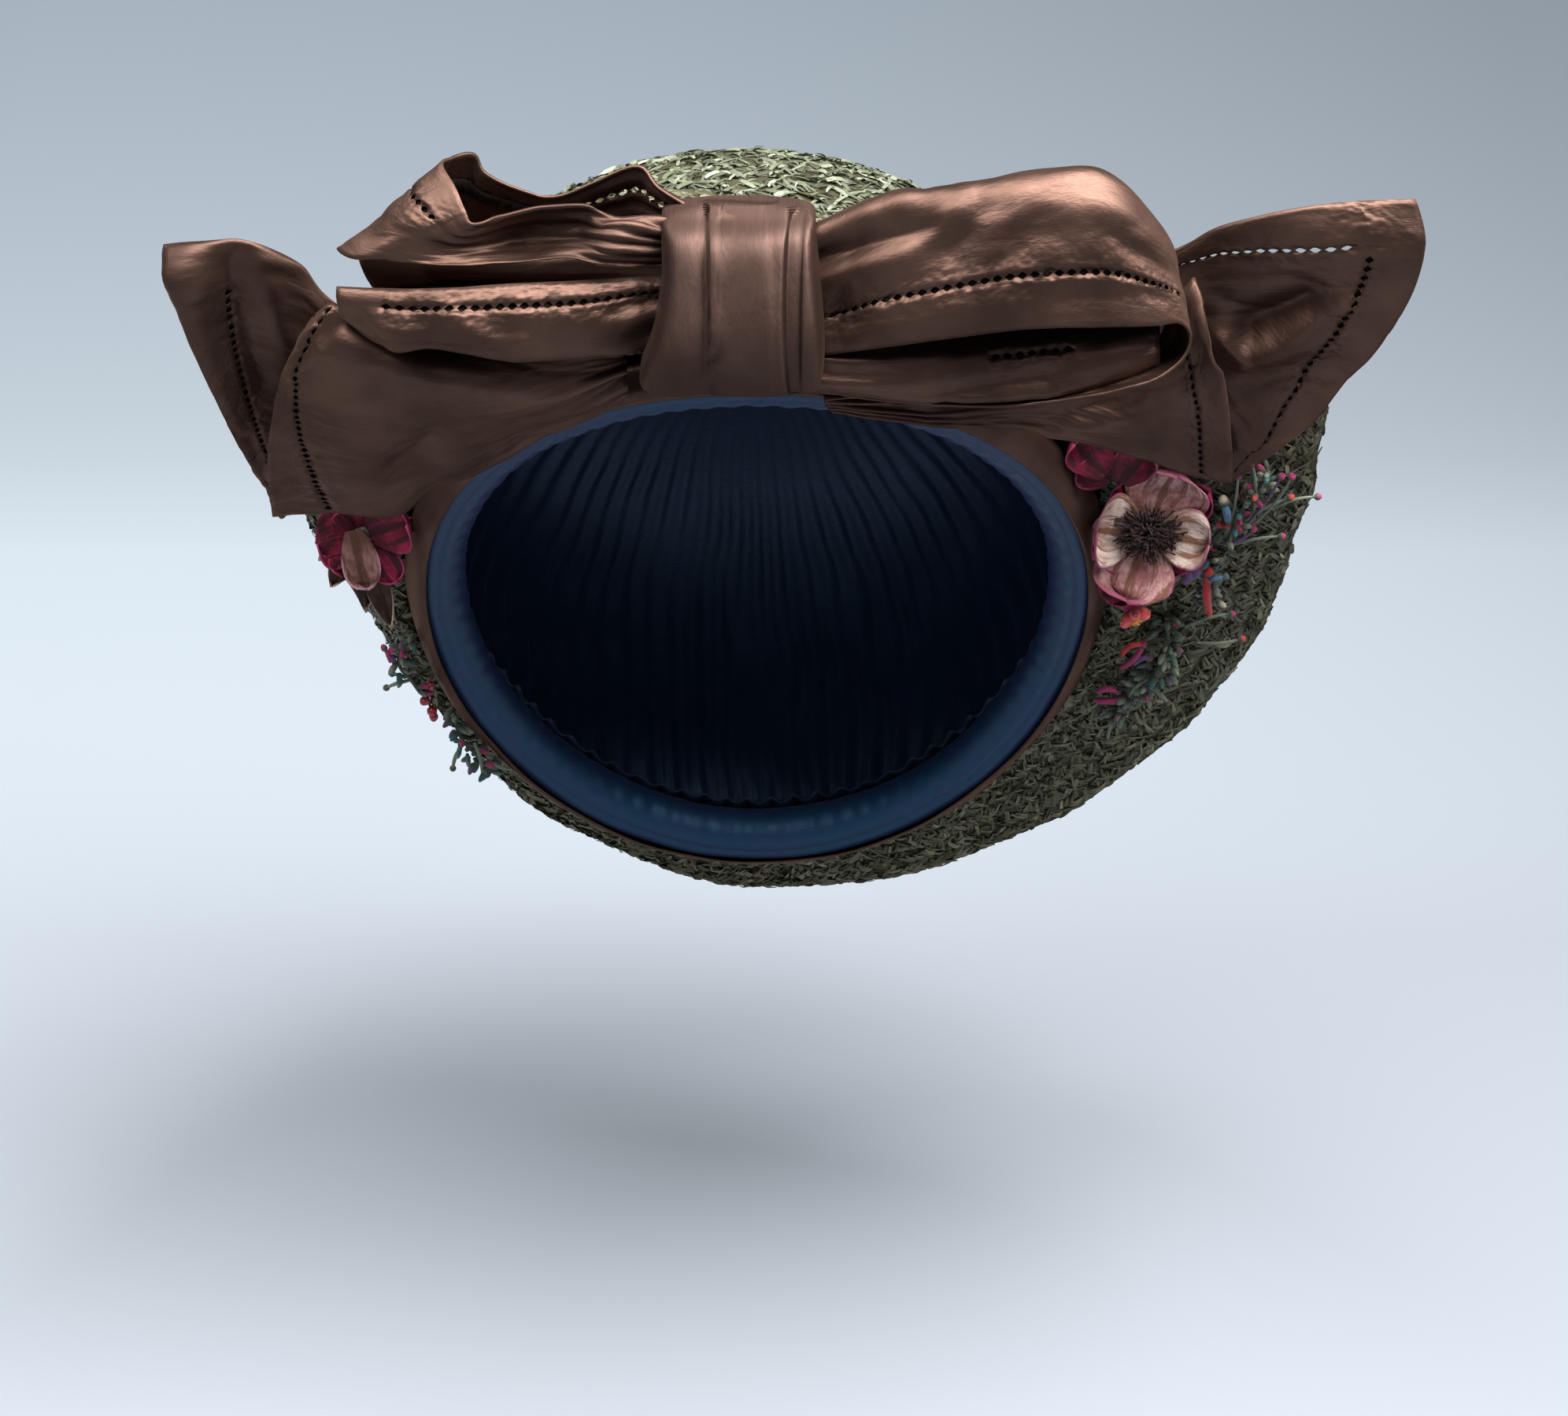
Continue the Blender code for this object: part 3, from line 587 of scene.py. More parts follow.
def makeLining():
    turn = fullTurn(lining["turns"])
    lean = np.radians(np.linspace(*lining["lean"], lining["stations"]))
    dome = crownPoint(turn[:, None], lean[None, :], lining["inset"])
    foot = []
    for out in lining["foot"]:
        x, y = ringPoint(turn, "roll", out)
        foot.append(np.stack((x, y, ringDrop(turn) + lining["footRise"] + max(0, out) / 2), -1))
    even, _ = evenAlong(np.concatenate((dome, np.stack(foot, 1)), axis=1), lining["stations"])
    share = np.linspace(0, 1, lining["stations"])[None, :]
    wander = (lining["wander"] * softNoise(even, 38.0, 2.0)
              + lining["smallWander"] * softNoise(even, 12.0, 7.0))
    fold = 0.5 + 0.5 * np.sin(turn[:, None] * lining["folds"] + wander)
    depth = lining["foldDepth"] * fold ** 1.5 * np.clip(share * 1.6 - 0.25, 0, 1)
    depth = depth * np.clip(1 + lining["unevenness"] * softNoise(even, 24.0, 5.0), 0.15, 1.6)
    points = hatToWorld(even - sheetFrame(even)[2] * depth[..., None])
    top = points[:, 0].mean(axis=0)
    uv = np.stack(np.broadcast_arrays(turn[:, None] * 0.1, share * lining["flat"][1]), -1)
    piece = makePiece("gathered_lining", np.vstack((points.reshape(-1, 3), top)),
                      domeFaces(*depth.shape), liningSilk,
                      np.vstack((uv.reshape(-1, 2), (0, 0))))
    addSolidify(piece, lining["wall"])
    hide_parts("head_lining")


band = {
    "turns": 420, "across": 22, "arc": (-70.0, 24.0), "radius": 8.7, "wall": 0.5,
    "foldDepth": 0.55, "flat": (0.62, 0.022),
}


def makeBand():
    arc = np.radians(np.linspace(*band["arc"], band["across"]))
    turn, around = np.meshgrid(fullTurn(band["turns"]), arc, indexing="ij")
    drape = softNoise(np.stack((turn * 18, around * 9, turn * 0), -1), 4.0)
    points = ringSurface(turn, around, band["radius"] + band["foldDepth"] * drape)
    piece = makePiece("satin_edge_band", points.reshape(-1, 3), gridFaces(*turn.shape, True, False),
                      satin, ringCloth(turn, around, band["radius"]),
                      {"hem": np.zeros(turn.size)})
    addSolidify(piece, band["wall"])
    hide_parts("satin_band")


makeRoll()
makeLining()
makeBand()
print("roll, lining and band made")

# Satin of the bow: each row is a section across the ribbon, from its front or upper edge
# through its middle to its other edge, and the rows follow the ribbon
sectionRows = namedRows("edge middle far")
leftUpperLoop = sectionRows(
    ((-14, -95, 129), (-14, -97, 126), (-14, -97, 120)),
    ((-22, -96, 130), (-22.4, -98, 127), (-23.4, -98, 120)),
    ((-31, -98, 130.5), (-32, -103, 128.5), (-34, -103, 121.5)),
    ((-36, -99, 133.5), (-37, -101, 128), (-39.5, -104, 122.5)),
    ((-41, -101, 136), (-42.5, -97, 127), (-45, -105, 123.5)),
    ((-54, -104, 135), (-56, -96, 126), (-58, -105, 122.5)),
    ((-65.5, -104, 132), (-72, -103, 126.5), (-78, -105, 122.5)),
    ((-68, -103, 135), (-80, -105, 130), (-88, -104, 123)),
    ((-70.5, -100, 140), (-85, -102, 132), (-95.5, -101, 122.5)),
    ((-74, -94, 144), (-88, -94, 132.5), (-100, -94, 123)),
    ((-71.5, -88, 144), (-83, -85, 131), (-96, -86, 121)),
    ((-67, -84, 143.5), (-73, -78, 129), (-82, -78, 117.5)),
    ((-64, -84, 138.5), (-67, -77, 127), (-70, -75, 116)),
    ((-50, -84, 133), (-50.5, -77, 124.5), (-51.5, -74, 116)),
    ((-40, -84, 136), (-40, -77, 125.5), (-40.5, -74, 116.5)),
    ((-28, -85, 141), (-29, -79, 128), (-30.5, -76, 117.5)),
    ((-23, -88, 136.5), (-23.2, -83, 128.5), (-23.8, -80, 120)),
    ((-14, -92, 132), (-14, -87, 127), (-14, -85, 120)),
)
leftLowerLoop = sectionRows(
    ((-14, -96, 116), (-16, -97, 101), (-16, -84, 106)),
    ((-23, -97, 117), (-27, -98, 99), (-27, -80, 106)),
    ((-41, -104, 118), (-44, -104, 98), (-44, -73, 109)),
    ((-59, -107, 118), (-63, -107, 99), (-63, -72, 109)),
    ((-74, -107, 117), (-77, -106, 101), (-77, -73, 108.5)),
    ((-87, -104, 116), (-88, -102, 101), (-88, -75, 108)),
    ((-99, -100, 115), (-98, -98, 108), (-98, -80, 108)),
)
leftBackLayer = sectionRows(
    ((-14, -83, 121), (-15, -83, 114), (-16, -83, 106)),
    ((-24, -80, 121), (-25, -79, 114), (-27, -79, 106)),
    ((-40, -75, 118), (-42, -77, 113), (-44, -73.5, 108)),
    ((-60, -75, 118), (-62, -78, 113), (-63, -72.5, 108)),
    ((-80, -77, 120), (-79, -79, 114), (-77, -73.5, 108)),
    ((-96, -86, 121), (-95, -85, 115), (-93, -78, 108)),
)
leftLowerTail = sectionRows(
    ((-31, -90, 97), (-31, -92, 90), (-31, -84, 83)),
    ((-49, -92, 96.5), (-49, -93, 84), (-50, -74, 69)),
    ((-68, -92, 97), (-68, -95, 82), (-69, -60, 55)),
    ((-84, -91, 98), (-84, -93, 82), (-83, -51, 46)),
    ((-96, -92, 103), (-100, -90, 83), (-93, -46, 37)),
    ((-101, -92, 108), (-113, -84, 82), (-111, -40, 36)),
    ((-106, -90, 104), (-120, -76, 74), (-127, -34, 33)),
)
leftFarTail = sectionRows(
    ((-78, -54.5, 94), (-78, -53.5, 86), (-79, -50.5, 78)),
    ((-103, -56.5, 97), (-103, -52.5, 84), (-103, -42.5, 61)),
    ((-114, -64.5, 111), (-115, -56.5, 85), (-115, -20.5, 34)),
    ((-125, -72.5, 119), (-129, -62.5, 87), (-124, -16.5, 28)),
    ((-136, -74.5, 119), (-137, -68.5, 90), (-127, -14.5, 25)),
    ((-145, -70.5, 117), (-139, -66.5, 86), (-129, -12.5, 25)),
)
rightLoop = sectionRows(
    ((9, -96, 100), (9, -95, 124), (9, -82, 92)),
    ((17.6, -98, 98), (17.6, -94, 129), (17.6, -76, 88)),
    ((30, -106, 102), (30, -97, 136), (30, -73, 84)),
    ((45, -112, 106), (44, -100, 139), (44, -69, 84)),
    ((64, -114, 109), (62, -99, 142), (62, -64, 84)),
    ((83, -112, 109), (81, -97, 143), (81, -62, 84)),
    ((95, -108, 108), (93, -94, 133), (93, -61, 89)),
    ((102, -103, 107), (102, -89, 120), (102, -62, 94)),
    ((105, -100, 102), (104, -84, 104), (103, -64, 96)),
    ((102, -101, 96), (101, -84, 94), (100, -67, 91)),
    ((91, -104, 91), (91, -87, 94), (91, -68, 93)),
    ((65, -105, 87), (65, -89, 93), (65, -71, 92)),
    ((37, -100, 86), (37, -89, 92), (37, -77, 90)),
    ((17.6, -96, 87), (17.6, -90, 91), (17.6, -84, 90)),
    ((9, -94, 88), (9, -90, 91), (9, -86, 90)),
)
rightInside = sectionRows(
    ((10, -93, 101), (10, -97, 94), (10, -97, 88)),
    ((30, -95, 101), (30, -100, 95), (30, -99, 87)),
    ((50, -97, 103), (50, -104, 97), (50, -103, 88)),
    ((70, -97, 105), (70, -105, 99), (70, -104, 90)),
    ((88, -95, 106), (88, -102, 100), (88, -101, 92)),
    ((98, -92, 105), (98, -97, 100), (98, -97, 95)),
)
rightLowerTail = sectionRows(
    ((17.5, -79.5, 81), (17.5, -77.5, 78.5), (20, -75.5, 75.5)),
    ((38, -73.5, 80), (40, -73.5, 75), (44, -69.5, 70)),
    ((66, -61.5, 79), (67, -60.5, 72), (70, -56.5, 65)),
    ((89, -55.5, 79), (90, -55.5, 69), (92, -49.5, 56)),
    ((103, -55.5, 85), (107, -57.5, 75), (111, -43.5, 48)),
    ((109, -67.5, 108), (117, -69.5, 82), (124, -39.5, 44)),
)
rightFarTail = sectionRows(
    ((84, -50.5, 102.5), (84, -49.5, 95.5), (84, -48.5, 88.5)),
    ((105, -52.5, 110.5), (106, -49.5, 91.5), (106, -46.5, 74.5)),
    ((116, -58.5, 118.5), (118, -53.5, 91.5), (116, -40.5, 62.5)),
    ((132, -64.5, 124.5), (136, -58.5, 95.5), (121, -34.5, 46.5)),
    ((149, -64.5, 126.5), (150, -59.5, 97.5), (124, -31.5, 42.5)),
    ((163, -62.5, 126.5), (160, -56.5, 90.5), (126, -28.5, 40.5)),
)

# Folds drawn where the picture shows them: the two ends of each in its pixels, then the
# fold's half width and height in millimetres, a hollow being negative
foldRows = namedRows("x0 y0 x1 y1 width height")
picture = {"focal": 5000.0, "middle": (996.0, 899.5), "eye": (7.3, -1006.0, 388.7)}

# Ribbons: cell is the mesh size and fineCell that of the grid under it. Each hole reaches this
# far to both sides of its row, and opens by these shares of a cell at its ends and middle
bow = {
    "cell": 1.45, "fineCell": 0.8, "rowSteps": 14, "acrossSteps": 60,
    # rimShade is the painted shade on the cloth round each hole
    "holeReach": 0.8, "holeEnd": 0.45, "holeMiddle": 1.7, "rimShade": 0.35,
    "wall": 0.75, "thinShare": 0.55, "gatherReach": 24.0, "gatherDepth": 1.2,
    "longWave": 0.55, "longWaveSize": 9.0, "shortWave": 0.15, "shortWaveSize": 3.6,
    "crease": 0.32, "creaseWidth": 0.13, "backing": 0.8, "foldGain": 1.5, "frontFade": 6.0,
    "puckerDepth": 1.3, "puckerSize": 2.7, "puckerReach": 4.0,
    "hemRidge": 0.25, "hemRidgeAway": 1.6, "hemRidgeWidth": 0.6,
}

# A drawn-thread row runs along one side of a ribbon, this far away from it, between two shares
# of its length; the hem's own cloth backs its holes up to the share called open
hemRows = namedRows("side away open start stop")

# front is the share of the ribbon's length that faces forward and takes the drawn folds;
# gathers are the pleats at its two ends, and flat is the cut cloth in metres
ribbonRows = namedRows("name node rows hems front gathers flat restsOn folds")
ribbons = ribbonRows(
    (
        "satin_loop_left_upper", "bow_loop_left_upper", leftUpperLoop,
        hemRows(("edge", 10.0, 0.82, 0.40, 0.98)), 0.50, (5, 5), (0.032, 0.150), "bow_knot",
        foldRows(
            (668, 306, 844, 286, 2.6, 1.0), (530, 300, 660, 318, 3.5, 0.8),
            (470, 300, 560, 312, 4.0, -0.8), (700, 322, 830, 322, 2.4, 0.6),
            (600, 328, 800, 338, 1.6, 0.5),
        ),
    ),
    (
        "satin_loop_left_back", None, leftBackLayer, (), 1.0, (4, 0), (0.012, 0.076),
        "bow_knot", (),
    ),
    (
        "satin_loop_left_lower", "bow_loop_left_lower", leftLowerLoop,
        hemRows(("edge", 5.5, 2.0, 0.0, 0.86)), 1.0, (5, 0), (0.059, 0.076), "bow_knot",
        foldRows(
            (575, 406, 635, 442, 3.0, 1.3), (440, 382, 500, 430, 6.0, 1.4),
            (488, 436, 638, 451, 1.8, -1.1), (650, 400, 800, 410, 5.0, 1.0),
            (690, 440, 815, 430, 3.0, -1.0), (458, 400, 488, 436, 1.5, -1.1),
            (640, 445, 700, 420, 2.0, 0.8), (520, 395, 560, 430, 3.0, -0.7),
        ),
    ),
    (
        "satin_loop_right", "bow_loop_right", rightLoop,
        hemRows(("edge", 13.0, 2.0, 0.0, 0.48)), 0.52, (6, 4), (0.085, 0.190), "bow_knot",
        foldRows(
            (1028, 330, 1185, 289, 2.2, -1.3), (1036, 300, 1150, 262, 4.0, 1.2),
            (1040, 350, 1150, 325, 3.0, 0.8), (1215, 270, 1250, 280, 6.0, 1.2),
            (1207, 318, 1250, 272, 4.5, -1.6), (1310, 262, 1420, 280, 7.0, 0.9),
            (1330, 320, 1450, 300, 5.0, 0.7), (1044, 393, 1048, 444, 2.5, 1.0),
            (1120, 400, 1300, 382, 3.0, 0.6), (1350, 380, 1480, 375, 2.6, -0.7),
            (1420, 300, 1490, 350, 4.0, -0.9), (1290, 310, 1320, 275, 4.0, -0.8),
        ),
    ),
    (
        "satin_loop_right_inside", None, rightInside, hemRows(("edge", 8.5, 2.0, 0.52, 0.74)), 1.0,
        (3, 0), (0.018, 0.090), "bow_knot",
        foldRows(
            (1100, 520, 1330, 498, 2.2, 1.4), (1330, 498, 1560, 500, 2.0, 1.2),
            (1150, 545, 1420, 548, 1.8, 0.9), (1200, 500, 1330, 480, 1.6, -1.2),
            (1380, 520, 1540, 522, 2.0, -1.8),
        ),
    ),
    (
        "satin_tail_left_far", "bow_tail_left_far", leftFarTail,
        hemRows(("end", 13.5, 2.0, 0.12, 1.0)), 1.0, (4, 0), (0.075, 0.074), "straw_ground",
        foldRows(
            (205, 345, 245, 372, 4.5, 1.4), (340, 365, 362, 430, 4.5, 1.5),
            (290, 340, 330, 480, 4.5, -1.6), (240, 400, 300, 540, 4.0, 0.9),
            (320, 560, 345, 640, 3.0, -0.9), (330, 330, 400, 340, 3.0, 1.0),
        ),
    ),
    (
        "satin_tail_left_lower", "bow_tail_left_lower", leftLowerTail,
        hemRows(("end", 13.0, 2.0, 0.0, 1.0)), 1.0, (4, 0), (0.085, 0.098), "satin_edge_band",
        foldRows(
            (425, 365, 362, 457, 2.0, 1.5), (362, 457, 347, 508, 2.0, 1.2),
            (374, 478, 407, 448, 2.2, 1.1), (505, 600, 545, 572, 4.5, -2.4),
            (560, 480, 760, 520, 6.0, 0.9), (480, 500, 600, 540, 5.0, -0.8),
            (620, 575, 780, 545, 4.0, -0.9), (470, 420, 520, 470, 5.0, 1.2),
            (420, 400, 440, 380, 2.4, 1.2), (560, 590, 640, 570, 2.4, 1.0),
        ),
    ),
    (
        "satin_tail_right_lower", "bow_tail_right_lower", rightLowerTail,
        hemRows(("end", 12.5, 2.0, 0.0, 1.0)), 1.0, (5, 0), (0.040, 0.100), "satin_edge_band",
        foldRows(
            (1500, 348, 1552, 455, 2.0, 1.6), (1326, 548, 1426, 530, 3.0, 1.6),
            (1426, 530, 1437, 515, 2.4, 1.2), (1180, 520, 1330, 545, 3.0, 0.9),
            (1440, 420, 1470, 560, 5.0, -1.2), (1340, 530, 1420, 505, 2.4, -1.0),
        ),
    ),
    (
        "satin_tail_right_far", "bow_tail_right_far", rightFarTail,
        hemRows(("edge", 12.5, 0.0, 0.02, 1.0), ("end", 12.0, 2.0, 0.0, 1.0)), 1.0, (4, 0),
        (0.075, 0.079), "straw_ground",
        foldRows(
            (1554, 433, 1580, 459, 2.6, 2.8), (1580, 459, 1625, 445, 2.6, 2.8),
            (1625, 445, 1670, 411, 2.6, 2.8), (1670, 411, 1709, 386, 2.6, 2.4),
            (1585, 425, 1660, 392, 7.0, -4.2), (1566, 568, 1681, 529, 2.6, 1.3),
            (1600, 500, 1690, 470, 6.0, -2.8), (1560, 520, 1640, 500, 3.0, 0.8),
            (1660, 325, 1890, 300, 8.0, 1.5),
        ),
    ),
)


def rowsBetween(rows, steps):
    # a Catmull-Rom curve through each column of the rows
    table = np.array(rows, float)
    table = np.concatenate((table[:1], table, table[-1:]))
    found = []
    for before, first, second, after in zip(table, table[1:], table[2:], table[3:]):
        for t in np.arange(steps) / steps:
            found.append(((-t + 2 * t**2 - t**3) * before + (2 - 5 * t**2 + 3 * t**3) * first
                          + (t + 4 * t**2 - 3 * t**3) * second + (t**3 - t**2) * after) / 2)
    return np.array(found + [table[-1]])


def acrossRows(rows, steps):
    # the parabola through the three points of each section
    t = np.linspace(0, 1, steps + 1)[None, :, None]
    first, middle, last = rows[:, None, 0], rows[:, None, 1], rows[:, None, 2]
    return first * (1 - t) * (1 - 2 * t) + middle * 4 * t * (1 - t) + last * t * (2 * t - 1)


def seenAt(points):
    # where a point stands in the picture, in its pixels
    away = points - np.array(picture["eye"])
    up = away[..., 1] * viewUp[0] + away[..., 2] * viewUp[1]
    depth = away[..., 1] * viewUp[1] - away[..., 2] * viewUp[0]
    scale = picture["focal"] / depth
    return picture["middle"][0] + away[..., 0] * scale, picture["middle"][1] - up * scale, scale


def foldRelief(points, folds):
    x, y, scale = seenAt(points)
    ridges, hollows = np.zeros(x.shape), np.zeros(x.shape)
    for fold in folds:
        ahead = np.array((fold.x1 - fold.x0, fold.y1 - fold.y0), float)
        size = (ahead ** 2).sum()
        part = np.clip(((x - fold.x0) * ahead[0] + (y - fold.y0) * ahead[1]) / size, 0, 1)
        off = np.hypot(x - fold.x0 - part * ahead[0], y - fold.y0 - part * ahead[1]) / scale
        height = fold.height * np.exp(-((off / fold.width) ** 1.5))
        ridges, hollows = np.maximum(ridges, height), np.minimum(hollows, height)
    return ridges + hollows


def stationsWith(length, cell, strips):
    # even stations with three close ones at each drawn-thread row
    marks, starts = [0.0], []

    def evenTo(end):
        count = max(1, round((end - marks[-1]) / cell))
        marks.extend(np.linspace(marks[-1], end, count + 1)[1:])

    for middle in sorted(strips):
        evenTo(middle - bow["holeReach"])
        starts.append(len(marks) - 1)
        marks.extend((middle, middle + bow["holeReach"]))
    evenTo(length)
    return np.array(marks), starts


def besideHem(hem, u, v):
    # distance from the cloth's edge, the way along it, and where the hem's row runs
    away, along = (v, u) if hem.side == "edge" else (u.max() - u, v)
    share = along / along.max()
    return away, along, (share >= hem.start) & (share <= hem.stop)


def fineSheet(ribbon):
    # the ribbon on an even fine grid, with its folds, gathers and waves
    dense = acrossRows(rowsBetween(ribbon.rows, bow["rowSteps"]), bow["acrossSteps"])
    lengths = np.linalg.norm(np.diff(dense, axis=0), axis=2).mean(axis=1)
    distance = np.concatenate(([0], np.cumsum(lengths)))
    length = distance[-1]
    wanted = np.linspace(0, length, int(length / bow["fineCell"]))
    place = np.interp(wanted, distance, np.arange(len(distance)))
    low = np.minimum(place.astype(int), len(dense) - 2)
    part = (place - low)[:, None, None]
    dense = dense[low] * (1 - part) + dense[low + 1] * part
    width = np.percentile(np.linalg.norm(np.diff(dense, axis=1), axis=2).sum(axis=1), 90)
    grid, _ = evenAlong(dense, int(width / bow["fineCell"]))
    rows, columns = grid.shape[:2]
    u, v = np.meshgrid(np.linspace(0, length, rows), np.linspace(0, width, columns), indexing="ij")
    normal = unit(cellCross(grid))
    if normal[: rows // 4, : columns // 4, 1].mean() > 0:   # the normal points forward, to -Y
        normal = -normal
    cloth = np.stack((u / 3.2, v, u * 0 + ribbon.flat[1] * 1000), -1)
    slanted = np.stack((u / 1.6 + v * 0.5, v / 1.3 - u * 0.25, cloth[..., 2] + 60), -1)
    relief = (bow["longWave"] * softNoise(cloth, bow["longWaveSize"])
              + bow["shortWave"] * softNoise(cloth, bow["shortWaveSize"], 4.0))
    for pattern, size in ((cloth, 11.0), (slanted, 15.0)):
        crease = 1 - np.abs(softNoise(pattern, size, 17.0)) / bow["creaseWidth"]
        relief -= bow["crease"] * np.maximum(0, crease)
    front = 1.0
    if ribbon.front < 1:
        front = np.clip((ribbon.front * length - u) / bow["frontFade"] + 1, 0, 1)
    relief += bow["foldGain"] * foldRelief(grid, ribbon.folds) * front
    for count, end in zip(ribbon.gathers, (u, length - u)):
        if count:
            phase = 2 * np.pi * count * v / width + 2.0 * softNoise(cloth, 14.0, 8.0)
            relief += bow["gatherDepth"] * np.sin(phase) * np.exp(-end / bow["gatherReach"])
    for hem in ribbon.hems:
        off, along, near = besideHem(hem, u, v)
        away = np.abs(off - hem.away)
        bumps = softNoise(np.stack((along, off * 0.4, u * 0), -1), bow["puckerSize"], 6.0)
        bumps = bow["puckerDepth"] * np.maximum(0, bumps) * np.exp(-away / bow["puckerReach"])
        ridge = np.exp(-(((away - bow["hemRidgeAway"]) / bow["hemRidgeWidth"]) ** 2))
        relief += near * (bow["hemRidge"] * ridge - bumps)
    return grid + normal * relief[..., None], normal, length, width


def cutThreads(hem, row, crossing, move, marks, holes, shade, number):
    # opens the holes of one drawn-thread row, paints shade on the cloth round them, and lists the
    # corners of the cloth behind them
    opening = np.array((bow["holeEnd"], bow["holeMiddle"], bow["holeEnd"]))
    behind = []
    for i in range(1, len(marks) - 2, 2):
        share = marks[i] / marks[-1]
        if not hem.start <= share <= hem.stop or any(at - 1 <= i < at + 3 for at in crossing):
            continue
        if crossing and (i > crossing[0]) == (hem.side == "edge"):
            continue   # past the row that crosses it
        middle, half = (marks[i] + marks[i + 1]) / 2, (marks[i + 1] - marks[i]) / 2
        move[i, row:row + 3] = middle - half * opening
        move[i + 1, row:row + 3] = middle + half * opening
        # painted shade on the cloth round each hole
        shade[i:i + 2, row:row + 3] = bow["rimShade"]
        holes[i, row:row + 2] = True
        if share < hem.open:
            behind.append([number[k, row + m] for m in (-1, 1, 3) for k in (i - 1, i + 2)])
    return behind


def makeRibbon(ribbon):
    grid, normal, length, width = fineSheet(ribbon)
    sides = [hem for hem in ribbon.hems if hem.side == "edge"]
    ends = [hem for hem in ribbon.hems if hem.side == "end"]
    along, acrossAt = stationsWith(length, bow["cell"], [length - hem.away for hem in ends])
    across, alongAt = stationsWith(width, bow["cell"], [hem.away for hem in sides])
    u, v = np.meshgrid(along, across, indexing="ij")
    cut = np.zeros((len(along) - 1, len(across) - 1), bool)
    # dark is painted shade: partial on the cloth round each drawn-thread hole, full on the cloth
    # behind the holes
    dark, pull, turned = np.zeros(u.shape), np.zeros(u.shape), np.zeros(u.shape, bool)
    index = np.arange(u.size).reshape(u.shape)
    behind = []
    for hem, row in zip(sides, alongAt):
        behind += cutThreads(hem, row, acrossAt, u, along, cut, dark, index)
    for hem, row in zip(ends, acrossAt):
        behind += cutThreads(hem, row, alongAt, v.T, across, cut.T, dark.T, index.T)
    for hem in ribbon.hems:
        off, _, near = besideHem(hem, u, v)
        pull = np.maximum(pull, near * np.exp(-np.abs(off - hem.away) / bow["puckerReach"]))
        turned |= off < hem.away
    points, outward = pickOn([grid, normal], (u / length * (grid.shape[0] - 1)).ravel(),
                             (v / width * (grid.shape[1] - 1)).ravel())
    faces = gridFaces(len(along), len(across))[~cut.ravel()]
    uv = np.stack((u, v), -1).reshape(-1, 2) * mm
    dark, pull = dark.ravel(), pull.ravel()
    if behind:
        # the turned hem's own cloth sits behind the drawn threads, painted near black as the shade
        # seen through them
        spots = np.array(behind).ravel()
        first = len(points) + np.arange(len(behind))[:, None] * 6
        faces = np.vstack((faces, first + (0, 1, 3, 2), first + (2, 3, 5, 4)))
        points = np.vstack((points, points[spots] - outward[spots] * bow["backing"]))
        uv = np.vstack((uv, uv[spots]))
        dark = np.append(dark, np.ones(len(spots)))
        pull = np.append(pull, np.zeros(len(spots)))
    piece = makePiece(ribbon.name, points, faces, satin, uv, {"hem": dark, "pull": pull})
    thick = piece.vertex_groups.new(name="turned hem")
    thick.add(np.flatnonzero(turned.ravel()).tolist(), 1.0, "REPLACE")
    addSolidify(piece, bow["wall"], group="turned hem", thin=bow["thinShare"])
    if ribbon.node:
        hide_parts(ribbon.node)
    area = np.linalg.norm(cellCross(grid), axis=-1).sum() / 100
    print(f"{ribbon.name}: {length:.0f} x {width:.0f} mm, {area:.0f} cm2")


for ribbon in ribbons:
    makeRibbon(ribbon)

# The knot from its top to its bottom: the height of each row, its two sides, front and back
knotRows = namedRows("z left right front back")
knotTable = knotRows(
    (134.2, -12, 6, -96, -87),
    (132, -21, 14, -100, -82),
    (128, -22, 15, -108, -76),
    (118, -22, 16, -112, -73.2),
    (106, -24, 17, -114, -75.2),
    (97, -27, 17, -112, -77.2),
    (90, -27, 16, -106, -82),
    (87, -20, 13, -98, -84),
    (85.6, -12, 7, -94, -87),
)
# Each pleat's edge: its place at the top, middle and bottom, how soft it is, how deep, and
# the side of it that stands higher
pleatRows = namedRows("top middle bottom width depth side")
pleats = pleatRows(
    (-11.2, -10.4, -10.0, 0.35, 3.0, -1),
    (-7.2, -8.6, -9.8, 0.35, 2.0, 1),
    (10.2, 7.4, 11.4, 0.55, 3.0, 1),
    (13.6, 11.2, 13.0, 0.8, 1.6, -1),
    (2.0, 4.5, 3.0, 0.8, 0.5, 1),
)
knot = {
    "sides": 260, "rows": 56, "rounding": 0.42, "puff": 0.9, "puffSize": 8.0, "crease": 0.08,
    "creaseSize": 2.6, "recover": 4.0, "backShare": 0.3, "grooveWidth": 0.8, "shade": 0.48,
}


